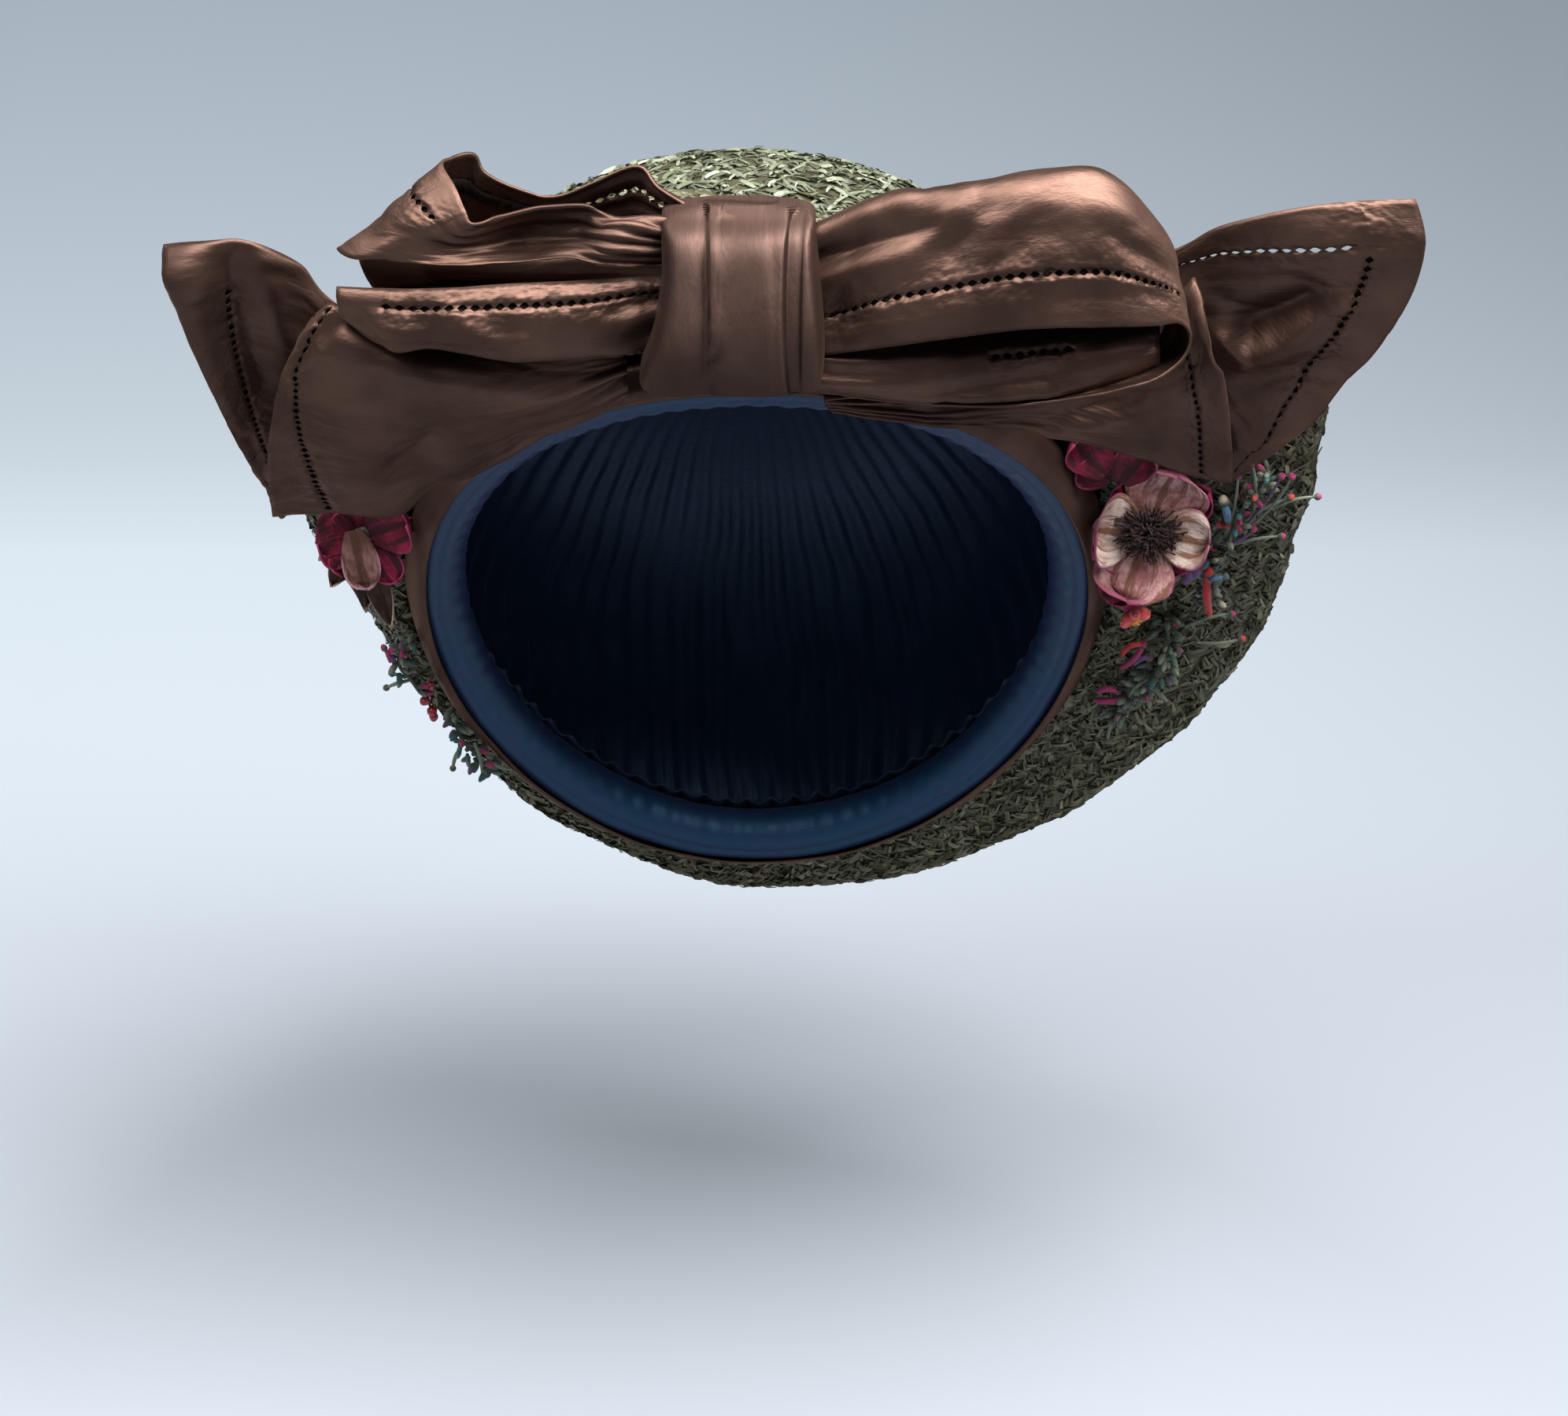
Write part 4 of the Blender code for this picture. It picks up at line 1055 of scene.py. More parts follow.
def makeKnot():
    table = rowsBetween(knotTable, 10)
    place = np.linspace(0, len(table) - 1, knot["rows"])
    z, left, right, front, back = (
        np.interp(place, np.arange(len(table)), column)[:, None] for column in table.T)
    cosine, sine = np.cos(fullTurn(knot["sides"])), np.sin(fullTurn(knot["sides"]))
    across = np.sign(cosine) * np.abs(cosine) ** knot["rounding"]
    ahead = np.sign(sine) * np.abs(sine) ** knot["rounding"]
    x = (left + right) / 2 + (right - left) / 2 * across
    y = (front + back) / 2 + (back - front) / 2 * ahead
    z = np.broadcast_to(z, x.shape)
    share = np.linspace(-1, 1, knot["rows"])[:, None]
    push, shade = np.zeros(x.shape), np.zeros(x.shape)
    facing = np.clip(-ahead * 2.0, 0, 1)
    for row in pleats:
        bend = (row.top + row.bottom) / 2 - row.middle
        edge = row.middle + (row.bottom - row.top) / 2 * share + bend * share ** 2
        below = (x - edge) * row.side
        step = 1 / (1 + np.exp(-below / row.width * 3))
        push = push + row.depth * step * np.exp(-np.maximum(0, below) / knot["recover"])
        # painted shade: a dark line along each pleat's groove on the knot's front, carried in the
        # hem value
        groove = np.exp(-(((below - 0.2) / knot["grooveWidth"]) ** 2)) * min(1, row.depth / 2)
        shade = np.maximum(shade, groove * facing)
    cloth = np.stack((x, y * 0.5, z * 0.30), -1)
    push = (push * facing - knot["puff"] * softNoise(cloth, knot["puffSize"])
            - knot["crease"] * softNoise(cloth, knot["creaseSize"], 3.0))
    y = y + push * (facing - (1 - facing) * ahead * knot["backShare"])
    rows, columns = x.shape
    faces = gridFaces(rows, columns, roundColumns=True).tolist()
    faces += [tuple(range(columns)), tuple((rows - 1) * columns + j for j in range(columns))]
    piece = makePiece("satin_knot", np.stack((x, y, z), -1).reshape(-1, 3), faces, dullSatin,
                      np.stack((z, x), -1).reshape(-1, 2) * mm,
                      {"hem": (knot["shade"] * shade).ravel()})
    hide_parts("bow_knot")


makeKnot()
print("bow made")


# Velvet flowers. A petal grows from the flower's middle at an angle in the upright plane,
# 0 degrees being to the right and 90 up; lift brings it forward
petalRows = namedRows("angle start length width cup ruffle lift pointed", defaults=(0,))
flowerRows = namedRows("name centre petals look slot node")
petal = {
    "along": 28, "across": 31, "wall": 0.45, "widest": 0.60, "foot": 0.42, "tipRound": 2.4,
    "footHalf": 0.15, "lump": 0.9, "lumpSize": 5.0, "wave": 0.8, "smallWave": 0.45,
    "curl": 9.6, "curlFrom": 0.86, "rootReach": 0.32,
}

cream = velvetLook("cream velvet", (0.36, 0.22, 0.19), (0.60, 0.47, 0.41),
                   (0.24, 0.03, 0.09), (0.160, 0.066, 0.029))
blush = velvetLook("blush velvet", (0.24, 0.085, 0.085), (0.46, 0.26, 0.25),
                   (0.26, 0.05, 0.11), (0.130, 0.050, 0.030))
crimson = velvetLook("crimson velvet", (0.065, 0.002, 0.009), (0.19, 0.004, 0.028),
                     (0.27, 0.03, 0.085), (0.018, 0.001, 0.004))
pinkVein = velvetLook("veined pink velvet", (0.10, 0.042, 0.036), (0.20, 0.10, 0.095),
                      (0.42, 0.23, 0.24), (0.055, 0.018, 0.010))
brownLeaf = velvetLook("brown velvet", (0.028, 0.012, 0.008), (0.065, 0.030, 0.019),
                       (0.38, 0.27, 0.20), (0.014, 0.006, 0.004))

rightFlower = (104.0, -33.8, -6.5)
rightCrimson = (94.5, -54.9, -7.6)
leftFlower = (-106.3, -28.4, -4.2)
leftPale = (-106.3, -26.4, -7.6)

flowers = flowerRows(
    (
        "anemone_petals_behind", rightFlower,
        petalRows(
            (36, 3, 17.0, 13, 3.0, 1.2, -0.6), (-48, 3, 13.0, 13, 3.0, 1.2, -0.4),
            (-150, 3, 13.5, 13, 3.0, 1.2, -0.4), (116, 3, 13.0, 12, 3.0, 1.2, -0.4),
            (-112, 12, 11.5, 11, 2.0, 1.6, -1.6),
        ),
        crimson, "crimson_velvet", None,
    ),
    (
        "anemone_petals_front", rightFlower,
        petalRows((172, 3, 12.0, 21, 6.0, 1.8, 1.8), (-8, 3, 13.6, 17, 4.5, 1.8, 1.6)),
        cream, "pale_velvet", "anemone_right",
    ),
    (
        "anemone_petals_blush", rightFlower,
        petalRows((68, 3, 16.0, 23, 3.5, 1.8, 1.4), (-106, 3, 17.0, 22, 4.5, 2.2, 1.2)),
        blush, "pale_velvet", None,
    ),
    (
        "crimson_petals_upper", rightCrimson,
        petalRows(
            (132, 4, 14.5, 12, 3.5, 2.4, 1.0), (58, 1, 12.0, 11, 4.5, 2.8, 1.8),
            (95, 2, 12.0, 10, 2.0, 1.4, -0.8), (160, 2, 10.0, 9, 2.0, 1.4, -1.2),
        ),
        crimson, "crimson_velvet", "crimson_petals_right",
    ),
    (
        "crimson_flower_left", leftFlower,
        petalRows(
            (186, 1, 10.4, 17, 3.5, 1.6, 0.4), (106, 2, 7.5, 10, 3.0, 1.6, 0.0),
            (22, 3, 12.0, 16.5, 4.5, 2.0, 1.4), (-50, 3, 13.5, 9, 3.5, 1.4, 0.4),
            (-112, 1, 11.5, 11, 3.0, 1.2, -0.6), (-154, 1, 10.5, 10, 3.0, 1.0, -0.8),
        ),
        crimson, "crimson_velvet", "crimson_petals_left",
    ),
    (
        "pale_petal_on_crimson", leftPale, petalRows((-78, -6, 16.8, 10, 3.4, 1.2, 1.2)),
        pinkVein, "pale_velvet", "pale_petals_left",
    ),
    (
        "velvet_leaf", leftFlower,
        petalRows(
            (-74, 9, 19.5, 6.5, 1.0, 1.4, -0.8, 1),
            (-146, 4, 9.8, 6.5, 0.5, 1.2, -1.6, 1),
            (-88, 6, 17.0, 7.5, 0.2, 1.2, -2.0, 1),
            (-118, 6, 12.0, 7.0, 0.2, 1.0, -2.4, 1),
        ),
        brownLeaf, "brown_velvet", "leaf_left",
    ),
)


def petalPoints(centre, row, seed):
    u, v = np.meshgrid(np.linspace(0, 1, petal["along"]), np.linspace(-1, 1, petal["across"]),
                       indexing="ij")
    if row.pointed:
        grow = np.sin(np.pi * np.clip(u, 0, 1) ** 0.8) ** 0.9
    else:
        grow = np.sin(np.pi / 2 * np.minimum(1, u / petal["widest"]))
        tip = np.maximum(0, u - petal["widest"]) / (1 - petal["widest"])
        grow = petal["foot"] + (1 - petal["foot"]) * grow
        grow = grow * np.sqrt(np.maximum(0, 1 - tip ** petal["tipRound"]))
    half = row.width / 2 * grow + petal["footHalf"]
    cloth = np.stack((u * row.length, v * row.width / 2, u * 0 + seed * 7.3), -1)
    lump = softNoise(cloth, petal["lumpSize"])
    wave = (petal["wave"] * np.sin(v * 3.6 + seed * 2.1) * u ** 2
            + petal["smallWave"] * np.sin(v * 7.3 + seed) * u ** 4)
    curl = petal["curl"] * np.clip(u - petal["curlFrom"], 0, 1) * (1 - v ** 2)
    out = row.start + row.length * u * (1 - 0.06 * np.abs(v) ** 3 + 0.03 * lump)
    ahead = (row.lift + row.cup * u ** 1.6 * (0.55 + 0.45 * v ** 2) + row.ruffle * wave
             + petal["lump"] * lump * u - curl)
    turn = math.radians(row.angle)
    x = out * math.cos(turn) - half * v * math.sin(turn)
    z = out * math.sin(turn) + half * v * math.cos(turn)
    points = hatToWorld(np.array(centre)) + np.stack((x, -ahead, z), -1)
    rim = np.maximum(u ** 2.5, np.abs(v) ** 3 * np.clip(u * 2, 0, 1))
    root = np.exp(-((u / petal["rootReach"]) ** 2))
    uv = np.stack((v * row.width / 2 + seed * 30, u * row.length), -1) * mm
    return points, uv, rim, root


def makeFlower(flower):
    made = [petalPoints(flower.centre, row, seed + len(flower.name))
            for seed, row in enumerate(flower.petals)]
    points, uv, rim, root = (np.concatenate(values) for values in zip(*made))
    cells = gridFaces(petal["along"], petal["across"])
    faces = [cells + k * petal["along"] * petal["across"] for k in range(len(made))]
    piece = makePiece(flower.name, points.reshape(-1, 3), np.concatenate(faces), flower.look,
                      uv.reshape(-1, 2), {"rim": rim.ravel(), "root": root.ravel()})
    addSolidify(piece, petal["wall"])
    if flower.node:
        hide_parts(flower.node)


for flower in flowers:
    makeFlower(flower)


# Stems, threads and buds are tubes, joined into one mesh for each bunch. Along each tube tip
# goes from 0 to 1, from the stem's dark colour to the hue given
class tubeBunch:
    def __init__(self):
        self.points, self.faces, self.tips, self.hues, self.count = [], [], [], [], 0

    def tube(self, line, radii, hue, tips=None, sides=7):
        line = np.asarray(line, float)
        ahead = unit(np.gradient(line, axis=0))
        side = unit(np.cross(ahead, (0.13, 0.31, 0.94)))   # no stem runs this way
        up = np.cross(side, ahead)
        turn = fullTurn(sides)[None, :, None]
        ring = side[:, None] * np.cos(turn) + up[:, None] * np.sin(turn)
        points = (line[:, None] + ring * np.asarray(radii)[:, None, None]).reshape(-1, 3)
        first, last, end = len(points), len(points) + 1, (len(line) - 1) * sides
        caps = [(first, first, (j + 1) % sides, j) for j in range(sides)]
        caps += [(last, last, end + j, end + (j + 1) % sides) for j in range(sides)]
        faces = np.vstack((gridFaces(len(line), sides, roundColumns=True), caps))
        tips = np.zeros(len(line)) if tips is None else np.asarray(tips, float)
        self.points.append(np.vstack((points, line[0], line[-1])))
        self.faces.append(faces + self.count)
        self.tips.append(np.concatenate((np.repeat(tips, sides), (tips[0], tips[-1]))))
        self.hues.append(np.full(last + 1, hue))
        self.count += last + 1

    def bud(self, place, ahead, length, radius, hue, tip=1.0):
        ahead = np.asarray(ahead, float) / np.linalg.norm(ahead)
        t = np.linspace(0.04, 0.97, 8)
        radii = radius * np.sqrt(np.sin(np.pi * t ** 0.8)) + 0.05
        line = np.asarray(place)[None] + ahead[None] * (length * t)[:, None]
        self.tube(line, radii, hue, tips=tip * np.clip((t - 0.25) * 1.8, 0, 1), sides=8)

    def make(self, name, look, node=None):
        faces = [tuple(dict.fromkeys(face)) for face in np.concatenate(self.faces).tolist()]
        piece = makePiece(name, np.concatenate(self.points), faces, look, values={
            "tip": np.concatenate(self.tips), "hue": np.concatenate(self.hues)})
        if node:
            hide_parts(node)


sprigFinish = {
    "speckScale": 1400, "speckShare": 0.35, "speckColour": (0.02, 0.025, 0.02),
    "sheen": 0.08, "relief": 0.5, "reliefDepth": 0.0003,
}


def sprigLook(name, body, stem, rough=0.7, coat=0.0):
    r = lookRecipe(name)
    hue = r.ramp(r.value("hue"), *body)
    speck = r.grain(sprigFinish["speckScale"], 3.0)
    base = r.mix(r.range(r.value("tip"), 0.0, 0.75), stem, hue)
    share = r.range(speck, 0.45, 0.75, 0.0, sprigFinish["speckShare"])
    r.set(Base_Color=r.mix(share, base, sprigFinish["speckColour"]), Roughness=rough,
          Specular_IOR_Level=0.25, Sheen_Weight=sprigFinish["sheen"], Sheen_Roughness=0.5,
          Coat_Weight=coat, Coat_Roughness=0.2)
    r.bump(speck, sprigFinish)
    return r.look


# Places of the hues along the sprigs' ramp, and their colours
hues = {"magenta": 0.0, "coral": 0.16, "violet": 0.33, "teal": 0.5, "blue": 0.66,
        "cream": 0.83, "green": 1.0}
sprigColours = {
    "magenta": (0.24, 0.012, 0.075), "coral": (0.32, 0.012, 0.012), "violet": (0.085, 0.034, 0.11),
    "teal": (0.014, 0.080, 0.080), "blue": (0.05, 0.11, 0.18), "cream": (0.32, 0.27, 0.20),
    "green": (0.115, 0.13, 0.095),
}
sprigLeaf = sprigLook("sprig velvet", [(hues[name], sprigColours[name]) for name in hues],
                      (0.045, 0.055, 0.038))
stamenDark = sprigLook(
    "stamen thread", ((0.0, (0.050, 0.013, 0.014)), (1.0, (0.018, 0.007, 0.006))),
    (0.03, 0.004, 0.012), rough=0.6)
coralLook = sprigLook(
    "coral velvet",
    ((0.0, (0.45, 0.02, 0.10)), (0.5, (0.60, 0.09, 0.08)), (1.0, (0.75, 0.36, 0.06))),
    (0.35, 0.015, 0.06))
berryLook = sprigLook(
    "berry gloss", ((0.0, (0.24, 0.006, 0.012)), (1.0, (0.16, 0.006, 0.01))),
    (0.20, 0.01, 0.01), rough=0.25, coat=0.6)

stamens = {
    "threads": 460, "reach": 9.6, "flatten": 0.85, "dome": 5.0, "domeFall": 0.85, "sway": 0.5,
    "thin": 0.20, "knob": 1.35, "foot": 1.6,
}


def makeStamens():
    bunch = tubeBunch()
    centre = hatToWorld(np.array(rightFlower)) - (0, stamens["foot"], 0)
    radii = stamens["thin"] * np.array((1.0, 0.9, 0.85, 0.9, stamens["knob"]))
    t = np.linspace(0, 1, len(radii))[:, None]
    for _ in range(stamens["threads"]):
        turn = rng.uniform(0, 2 * np.pi)
        spread = math.sqrt(rng.uniform(0.0, 1.0))
        reach = stamens["reach"] * spread * rng.uniform(0.72, 1.12)
        rise = math.sqrt(max(0.05, 1 - stamens["domeFall"] * spread ** 2))
        height = stamens["dome"] * rise * rng.uniform(0.7, 1.1)
        sway = rng.normal(0, stamens["sway"], 3)
        end = reach * np.array((math.cos(turn), 0, stamens["flatten"] * math.sin(turn)))
        line = centre + end * t ** 0.8 + sway * np.sin(np.pi * t)
        line[:, 1] = centre[1] - height * np.sin(np.pi / 2 * t[:, 0])
        bunch.tube(line, radii, rng.uniform(0, 1), tips=np.linspace(0.2, 1, len(t)), sides=5)
    bunch.make("anemone_stamens", stamenDark, "anemone_right_centre")


makeStamens()

# Sprigs: points along the stem in the hat's own frame and the radius there; buds gives how
# many there are, and tips the colours that their ends take
stemRows = namedRows("x y z radius")
sprigRows = namedRows("name node buds tips rows")
sprigs = sprigRows(
    (
        "heather_spray_upper", "heather_right_upper", 44,
        ("green", "green", "green", "teal", "cream", "magenta", "coral", "green"),
        stemRows((121, -21, -1.5, 2.0), (125, -29, -2.5, 3.4), (129, -37, -2.5, 3.4),
                 (133, -45, -1.5, 2.8), (135, -51, -0.5, 1.2)),
    ),
    (
        "heather_spray_middle", "heather_right_middle", 30,
        ("violet", "green", "blue", "green", "cream", "green"),
        stemRows((122, -13, -1, 2), (123, -7, -1.5, 2.6), (124, 1, -1.5, 2.6),
                 (124, 8, -1, 1.2)),
    ),
    (
        "heather_bunch_lower", "heather_right_lower", 110,
        ("green", "green", "green", "teal", "green", "magenta", "green", "violet", "green"),
        stemRows((113, 12, -1.5, 2.5), (114, 23, -4, 4.6), (111, 35, -5, 5.0),
                 (105, 45, -5.5, 3.6), (101, 52, -6.5, 2)),
    ),
    (
        "heather_left_by_leaf", "heather_left_upper", 26,
        ("green", "green", "teal", "green", "green", "magenta"),
        stemRows((-95.4, 18, -3, 1.0), (-99, 22, -5, 1.8), (-100, 28, -6.5, 2.2),
                 (-97, 34, -7.5, 1.8), (-95, 39, -8, 1.0)),
    ),
    (
        "heather_left_low", "heather_left_lower", 52,
        ("teal", "green", "teal", "green", "teal", "violet", "magenta"),
        stemRows((-86.8, 53, -4, 1.0), (-85, 60, -8.5, 2.6), (-80.5, 67, -10.5, 3.4),
                 (-77, 74, -11.5, 2.0)),
    ),
)
budSize = {
    "length": 3.4, "radius": 0.80, "stemRadius": 0.55, "rootRange": (0.15, 0.85),
    "leanRange": (0.1, 0.9), "sizeRange": (0.7, 1.25), "tipRange": (0.5, 1.0),
}


def stemLine(rows):
    table = rowsBetween(rows, 8)
    return hatToWorld(table[:, :3]), table[:, 3]


def makeSprig(sprig):
    bunch = tubeBunch()
    line, radii = stemLine(sprig.rows)
    bunch.tube(line, np.full(len(line), budSize["stemRadius"]), hues["green"])
    ahead = unit(np.gradient(line, axis=0))
    for k in range(sprig.buds):
        place = (k + rng.random()) / sprig.buds * (len(line) - 1)
        i = min(int(place), len(line) - 2)
        part = place - i
        middle = line[i] * (1 - part) + line[i + 1] * part
        radius = radii[i] * (1 - part) + radii[i + 1] * part
        side = unit(np.cross(ahead[i], rng.normal(0, 1, 3)))
        heading = unit(side + ahead[i] * rng.uniform(*budSize["leanRange"]))
        root = middle + side * radius * rng.uniform(*budSize["rootRange"])
        hue = hues[sprig.tips[rng.integers(len(sprig.tips))]]
        size = rng.uniform(*budSize["sizeRange"])
        bunch.bud(root, heading, budSize["length"] * size, budSize["radius"] * size, hue,
                  tip=rng.uniform(*budSize["tipRange"]))
    bunch.make(sprig.name, sprigLeaf, sprig.node)


for sprig in sprigs:
    makeSprig(sprig)

# Loose stems, tubes and beads: where each starts in the picture, its heading there in
# degrees, its length, thickness and bend, the colours of its stem and tip, and how far
# below the brim it lies
bitRows = namedRows("x y heading length thick bend stem tip low")
bits = bitRows(
    (1548, 695, 62, 17, 0.45, 12, "green", "magenta", -3.0),
    (1552, 690, 48, 19, 0.45, -14, "green", "coral", -2.6),
    (1558, 690, 40, 20, 0.40, 10, "violet", "magenta", -3.2),
    (1560, 686, 28, 21, 0.45, 16, "green", "magenta", -2.6),
    (1556, 696, 20, 13, 0.45, -8, "green", "magenta", -3.4),
    (1590, 660, 75, 13, 0.45, 14, "green", "coral", -2.6),
    (1610, 652, 35, 12, 0.45, -16, "green", "magenta", -2.4),
    (1545, 690, -8, 9, 0.60, 26, "violet", "magenta", -4.0),
    (1560, 664, 95, 4, 1.20, 5, "blue", "cream", -5.0),
    (1538, 785, 106, 10, 1.25, -12, "coral", "coral", -5.5),
    (1532, 738, 12, 4, 0.70, 0, "blue", "blue", -6.0),
    (1505, 741, 60, 3, 1.40, 0, "violet", "violet", -6.5),
    (1513, 735, 50, 3, 1.30, 0, "violet", "blue", -6.0),
    (1497, 733, 120, 3, 1.20, 0, "violet", "violet", -6.5),
    (1452, 820, 165, 6, 0.85, 40, "coral", "magenta", -7.0),
    (1420, 850, 20, 8, 0.90, 22, "magenta", "magenta", -6.0),
    (1440, 846, 60, 4, 0.80, -30, "violet", "magenta", -6.0),
    (1388, 888, -20, 6, 1.00, 20, "magenta", "magenta", -6.5),
    (1392, 880, 30, 5, 0.90, -25, "magenta", "violet", -6.5),
    (1480, 838, 20, 3, 0.80, 10, "green", "magenta", -6.0),
    (1462, 874, 330, 5, 0.60, -10, "green", "magenta", -6.0),
    (1462, 862, 200, 7, 0.60, 20, "green", "teal", -6.5),
    (1500, 800, 30, 12, 0.50, -12, "green", "magenta", -4.5),
    (1515, 815, 350, 11, 0.50, 12, "green", "coral", -4.0),
    (1425, 900, 230, 8, 0.55, 15, "green", "magenta", -7.0),
    (496, 842, 95, 3, 0.80, 15, "magenta", "magenta", -6.0),
    (503, 846, 120, 3, 0.80, -12, "violet", "magenta", -6.0),
    (508, 842, 70, 3, 0.70, 12, "magenta", "violet", -6.0),
    (524, 864, 188, 6, 0.60, 8, "green", "magenta", -7.0),
    (516, 862, 150, 3, 0.60, 10, "teal", "teal", -7.0),
    (585, 950, 235, 5, 0.60, 14, "green", "magenta", -9.0),
    (600, 940, 300, 9, 0.60, -14, "green", "teal", -12.0),
    (615, 965, 330, 7, 0.60, 10, "green", "magenta", -12.0),
)


loose = {
    "stations": 9, "pixelsPerMm": 4.75, "sag": 0.8, "budLength": 2.6, "leastLength": 2.2,
    "budRadius": 1.15, "leastRadius": 0.95,
}


def underBrim(x, y, low):
    # the point seen at this place of the picture, on a plane of the hat's own frame
    across = (x - picture["middle"][0]) / picture["focal"]
    rise = -(y - picture["middle"][1]) / picture["focal"]
    ahead = np.array((across, viewUp[1] + rise * viewUp[0], -viewUp[0] + rise * viewUp[1]))
    eye = np.array(picture["eye"])
    normal = np.array((0.0, tiltSin, tiltCos))
    return eye + ahead * (low - eye @ normal) / (ahead @ normal)


def makeBits(name, chosen):
    bunch = tubeBunch()
    t = np.linspace(0, 1, loose["stations"])
    for bit in chosen:
        turn = np.radians(bit.heading + bit.bend * t * 2)
        step = bit.length / (len(t) - 1) * loose["pixelsPerMm"]
        x = bit.x + np.cumsum(np.cos(turn)) * step
        y = bit.y - np.cumsum(np.sin(turn)) * step
        low = bit.low - loose["sag"] * np.sin(3.1 * t)
        line = np.array([underBrim(*place) for place in zip(x, y, low)])
        bunch.tube(line, bit.thick * (0.75 + 0.25 * np.sin(np.pi * t)), hues[bit.stem],
                   tips=0.65 + 0.1 * t)
        bunch.bud(line[-1], line[-1] - line[-2],
                  max(loose["leastLength"], loose["budLength"] * bit.thick),
                  max(loose["leastRadius"], loose["budRadius"] * bit.thick), hues[bit.tip])
    bunch.make(name, sprigLeaf)


makeBits("loose_sprigs_right", [bit for bit in bits if bit.x > picture["middle"][0]])
makeBits("loose_sprigs_left", [bit for bit in bits if bit.x < picture["middle"][0]])

blossom = {
    "rows": stemRows((94.2, -6, -4, 1.4), (97.5, -8, -8, 1.3), (100.4, -8, -12, 1.7),
                     (101.8, -7, -15, 2.6)),
    "petals": 6, "petalLength": 5.2, "petalRadius": 1.7, "opening": 0.4, "sink": 0.4,
    "threads": 14, "threadLength": 3.2, "threadRadius": 0.38, "threadSpread": 0.45,
}
berryRows = namedRows("share radius way")   # share is the berry's place along its stem
berries = {
    "rows": stemRows((-91.9, 36, -5, 0.5), (-93.0, 42, -8, 0.5), (-91.5, 48, -9, 0.4)),
    "fruit": berryRows((0.30, 1.2, (0.5, -0.6, 0.4)), (0.55, 1.4, (-0.5, -0.7, -0.2)),
                       (0.80, 1.5, (0.3, -0.8, -0.5)), (0.98, 1.3, (0.0, -0.6, -0.8))),
}


def makeCoralBlossom():
    bunch = tubeBunch()
    line, radii = stemLine(blossom["rows"])
    bunch.tube(line, radii, 0.0, tips=np.linspace(0.2, 0.9, len(line)), sides=14)
    ahead = unit(line[-1] - line[-4])
    side = unit(np.cross(ahead, (0, 0, 1)))
    up = np.cross(side, ahead)
    for turn in fullTurn(blossom["petals"]):
        out = side * math.cos(turn) + up * math.sin(turn) + ahead * blossom["opening"]
        bunch.bud(line[-1] - ahead * blossom["sink"], out, blossom["petalLength"],
                  blossom["petalRadius"], 0.5)
    for _ in range(blossom["threads"]):
        out = rng.normal(0, blossom["threadSpread"], 2)
        bunch.bud(line[-1], ahead + side * out[0] + up * out[1], blossom["threadLength"],
                  blossom["threadRadius"], 1.0)
    bunch.make("coral_blossom", coralLook, "coral_blossom_right")


def makeBerries():
    bunch = tubeBunch()
    line, radii = stemLine(berries["rows"])
    bunch.tube(line, radii, 1.0, tips=np.full(len(line), 0.2))
    for row in berries["fruit"]:
        start = line[int(row.share * (len(line) - 1))]
        bunch.bud(start, row.way, row.radius * 2.1, row.radius, 0.0)
    bunch.make("red_berries", berryLook, "berries_left")


makeCoralBlossom()
makeBerries()
print("flowers, sprigs and berries made")


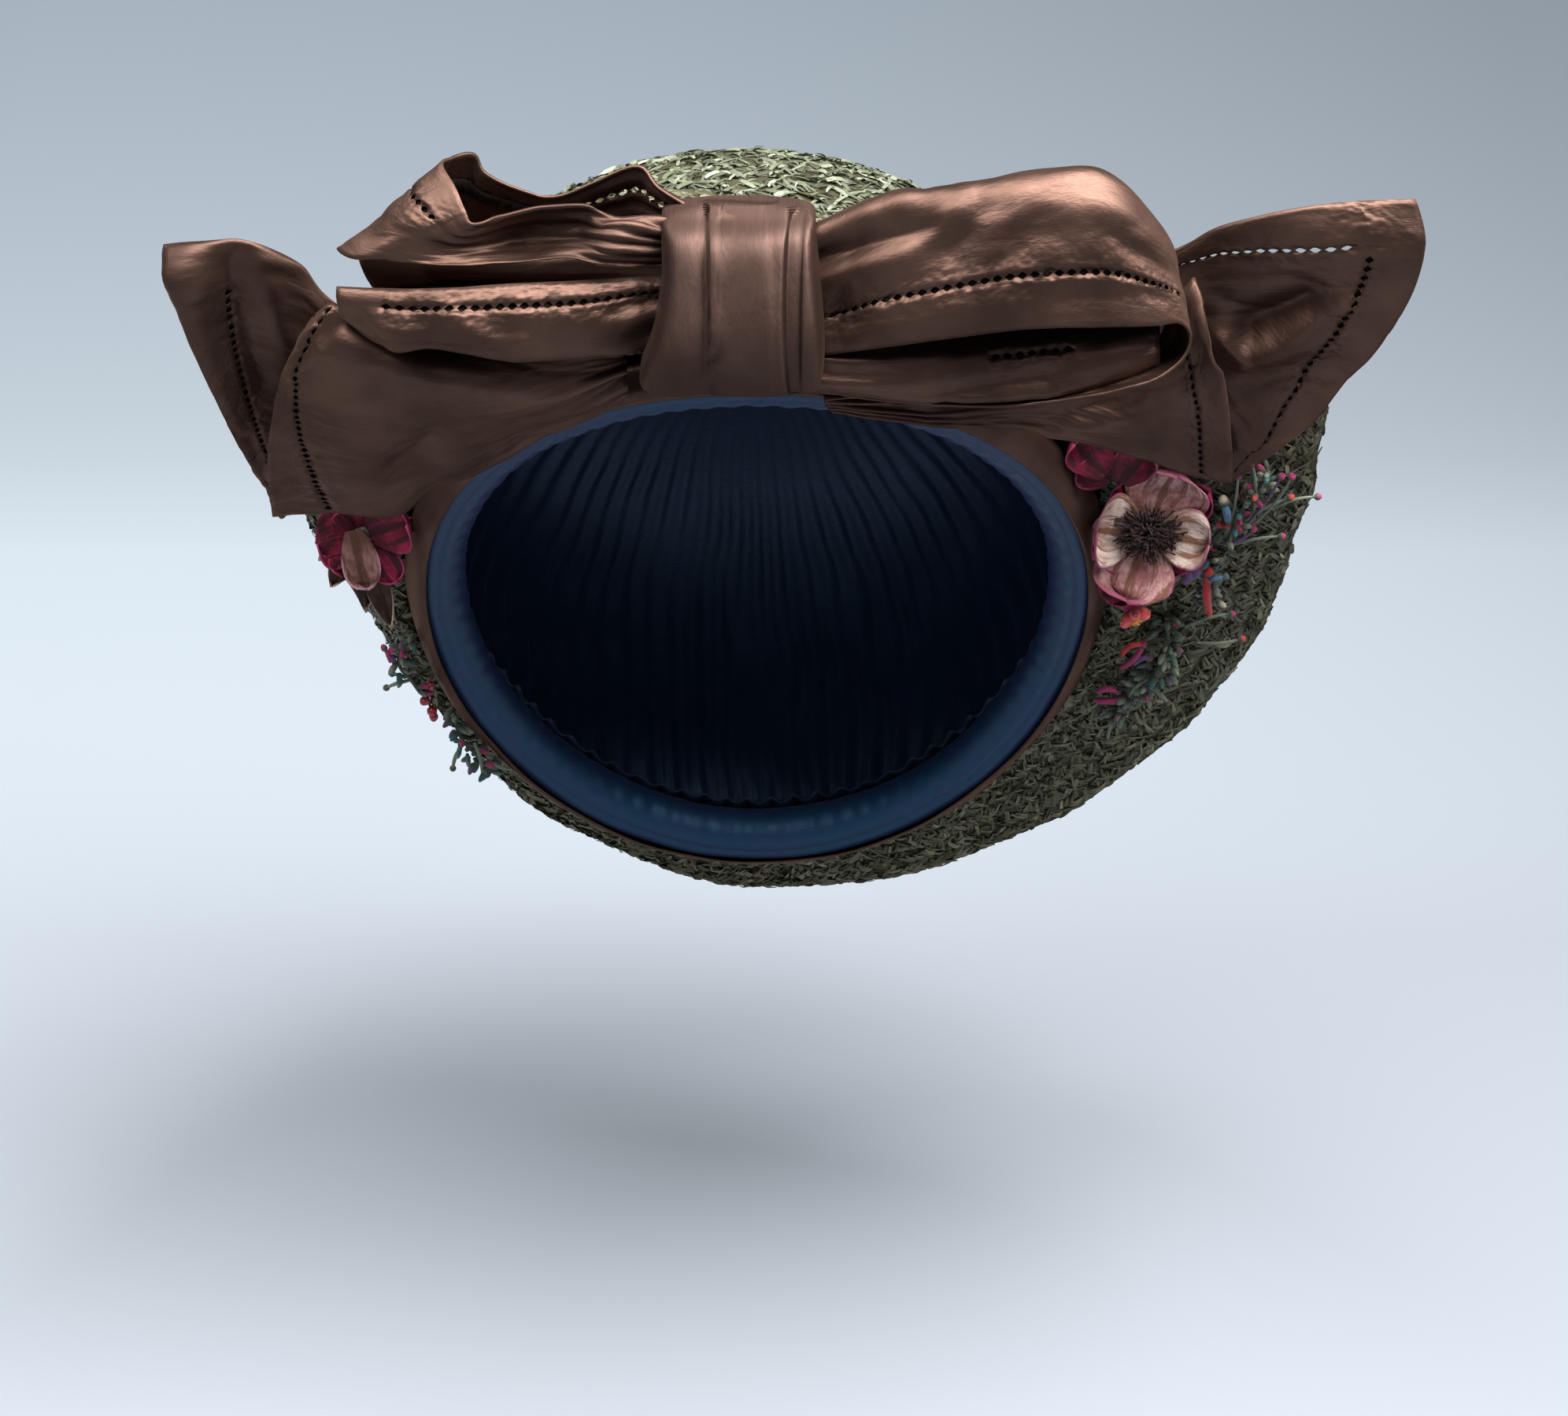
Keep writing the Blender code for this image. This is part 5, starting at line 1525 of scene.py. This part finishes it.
# Room, light and camera
room = {
    "floorHeight": -0.207, "half": 3.0, "wallAt": 1.6, "bendRadius": 0.9, "bendSteps": 24,
    "camera": (0.0073, -1.006, 0.3887), "cameraTilt": 67.1, "lens": 90.36,
    "leftPlace": (-0.34, -0.30, 1.0), "leftSize": 1.00, "leftPower": 37.0,
    "rightPlace": (0.52, -0.24, 0.95), "rightSize": 0.85, "rightPower": 60.0,
    "aim": (0.0, -0.03, 0.03), "worldColour": (0.80, 0.87, 0.95, 1), "worldStrength": 0.34,
    # painted light and shade: the paper's colour is lighter in a middle band and darker up the
    # wall, as the softboxes' falloff, and darker to the right as a painted shadow
    "paperDepth": (-0.1, 1.4), "paperWidth": (-0.4, 0.4), "sideShade": (0.98, 0.66),
    "paper": ((0.0, (0.222, 0.240, 0.264)), (0.20, (0.210, 0.229, 0.254)),
              (0.45, (0.27, 0.30, 0.33)), (1.0, (0.150, 0.178, 0.208))),
}


def backdropLook():
    r = lookRecipe("pale paper")
    place = r.node("ShaderNodeSeparateXYZ", inputs={"Vector": r.place()}).outputs
    # painted light and shade by depth and side
    base = r.ramp(r.range(place["Y"], *room["paperDepth"]), *room["paper"])
    side = r.range(place["X"], *room["paperWidth"], *room["sideShade"])
    r.set(Base_Color=r.mix(1.0, base, side, "MULTIPLY"), Roughness=0.9, Specular_IOR_Level=0.1)
    return r.look


def makeRoom():
    line = [(-room["half"], room["floorHeight"])]
    for step in range(room["bendSteps"] + 1):
        turn = math.pi / 2 * step / room["bendSteps"]
        line.append((room["wallAt"] - room["bendRadius"] * (1 - math.sin(turn)),
                     room["floorHeight"] + room["bendRadius"] * (1 - math.cos(turn))))
    line.append((room["wallAt"], room["half"]))
    verts = [(x, y, z) for y, z in line for x in (-room["half"], room["half"])]
    addMesh("paper_floor", verts, gridFaces(len(line), 2), backdropLook())


def makeLight(side):
    lamp = bpy.data.lights.new(f"{side} softbox", "AREA")
    lamp.size = room[side + "Size"]
    lamp.energy = room[side + "Power"]
    made = addToScene(lamp.name, lamp)
    made.location = room[side + "Place"]
    aim = Vector(room["aim"]) - made.location
    made.rotation_euler = aim.to_track_quat("-Z", "Y").to_euler()


def makeCamera():
    eye = bpy.data.cameras.new("camera")
    eye.lens = room["lens"]
    eye.clip_end = 20
    made = addToScene("camera", eye)
    made.location = room["camera"]
    made.rotation_euler = (math.radians(room["cameraTilt"]), 0, 0)
    bpy.context.scene.camera = made


def makeWorld():
    world = bpy.data.worlds.new("pale room")
    world.use_nodes = True
    sky = world.node_tree.nodes["Background"].inputs
    sky["Color"].default_value = room["worldColour"]
    sky["Strength"].default_value = room["worldStrength"]
    bpy.context.scene.world = world
    bpy.context.scene.view_settings.view_transform = "Standard"


makeRoom()
makeLight("left")
makeLight("right")
makeCamera()
makeWorld()
print("room: floor, lights and camera set")
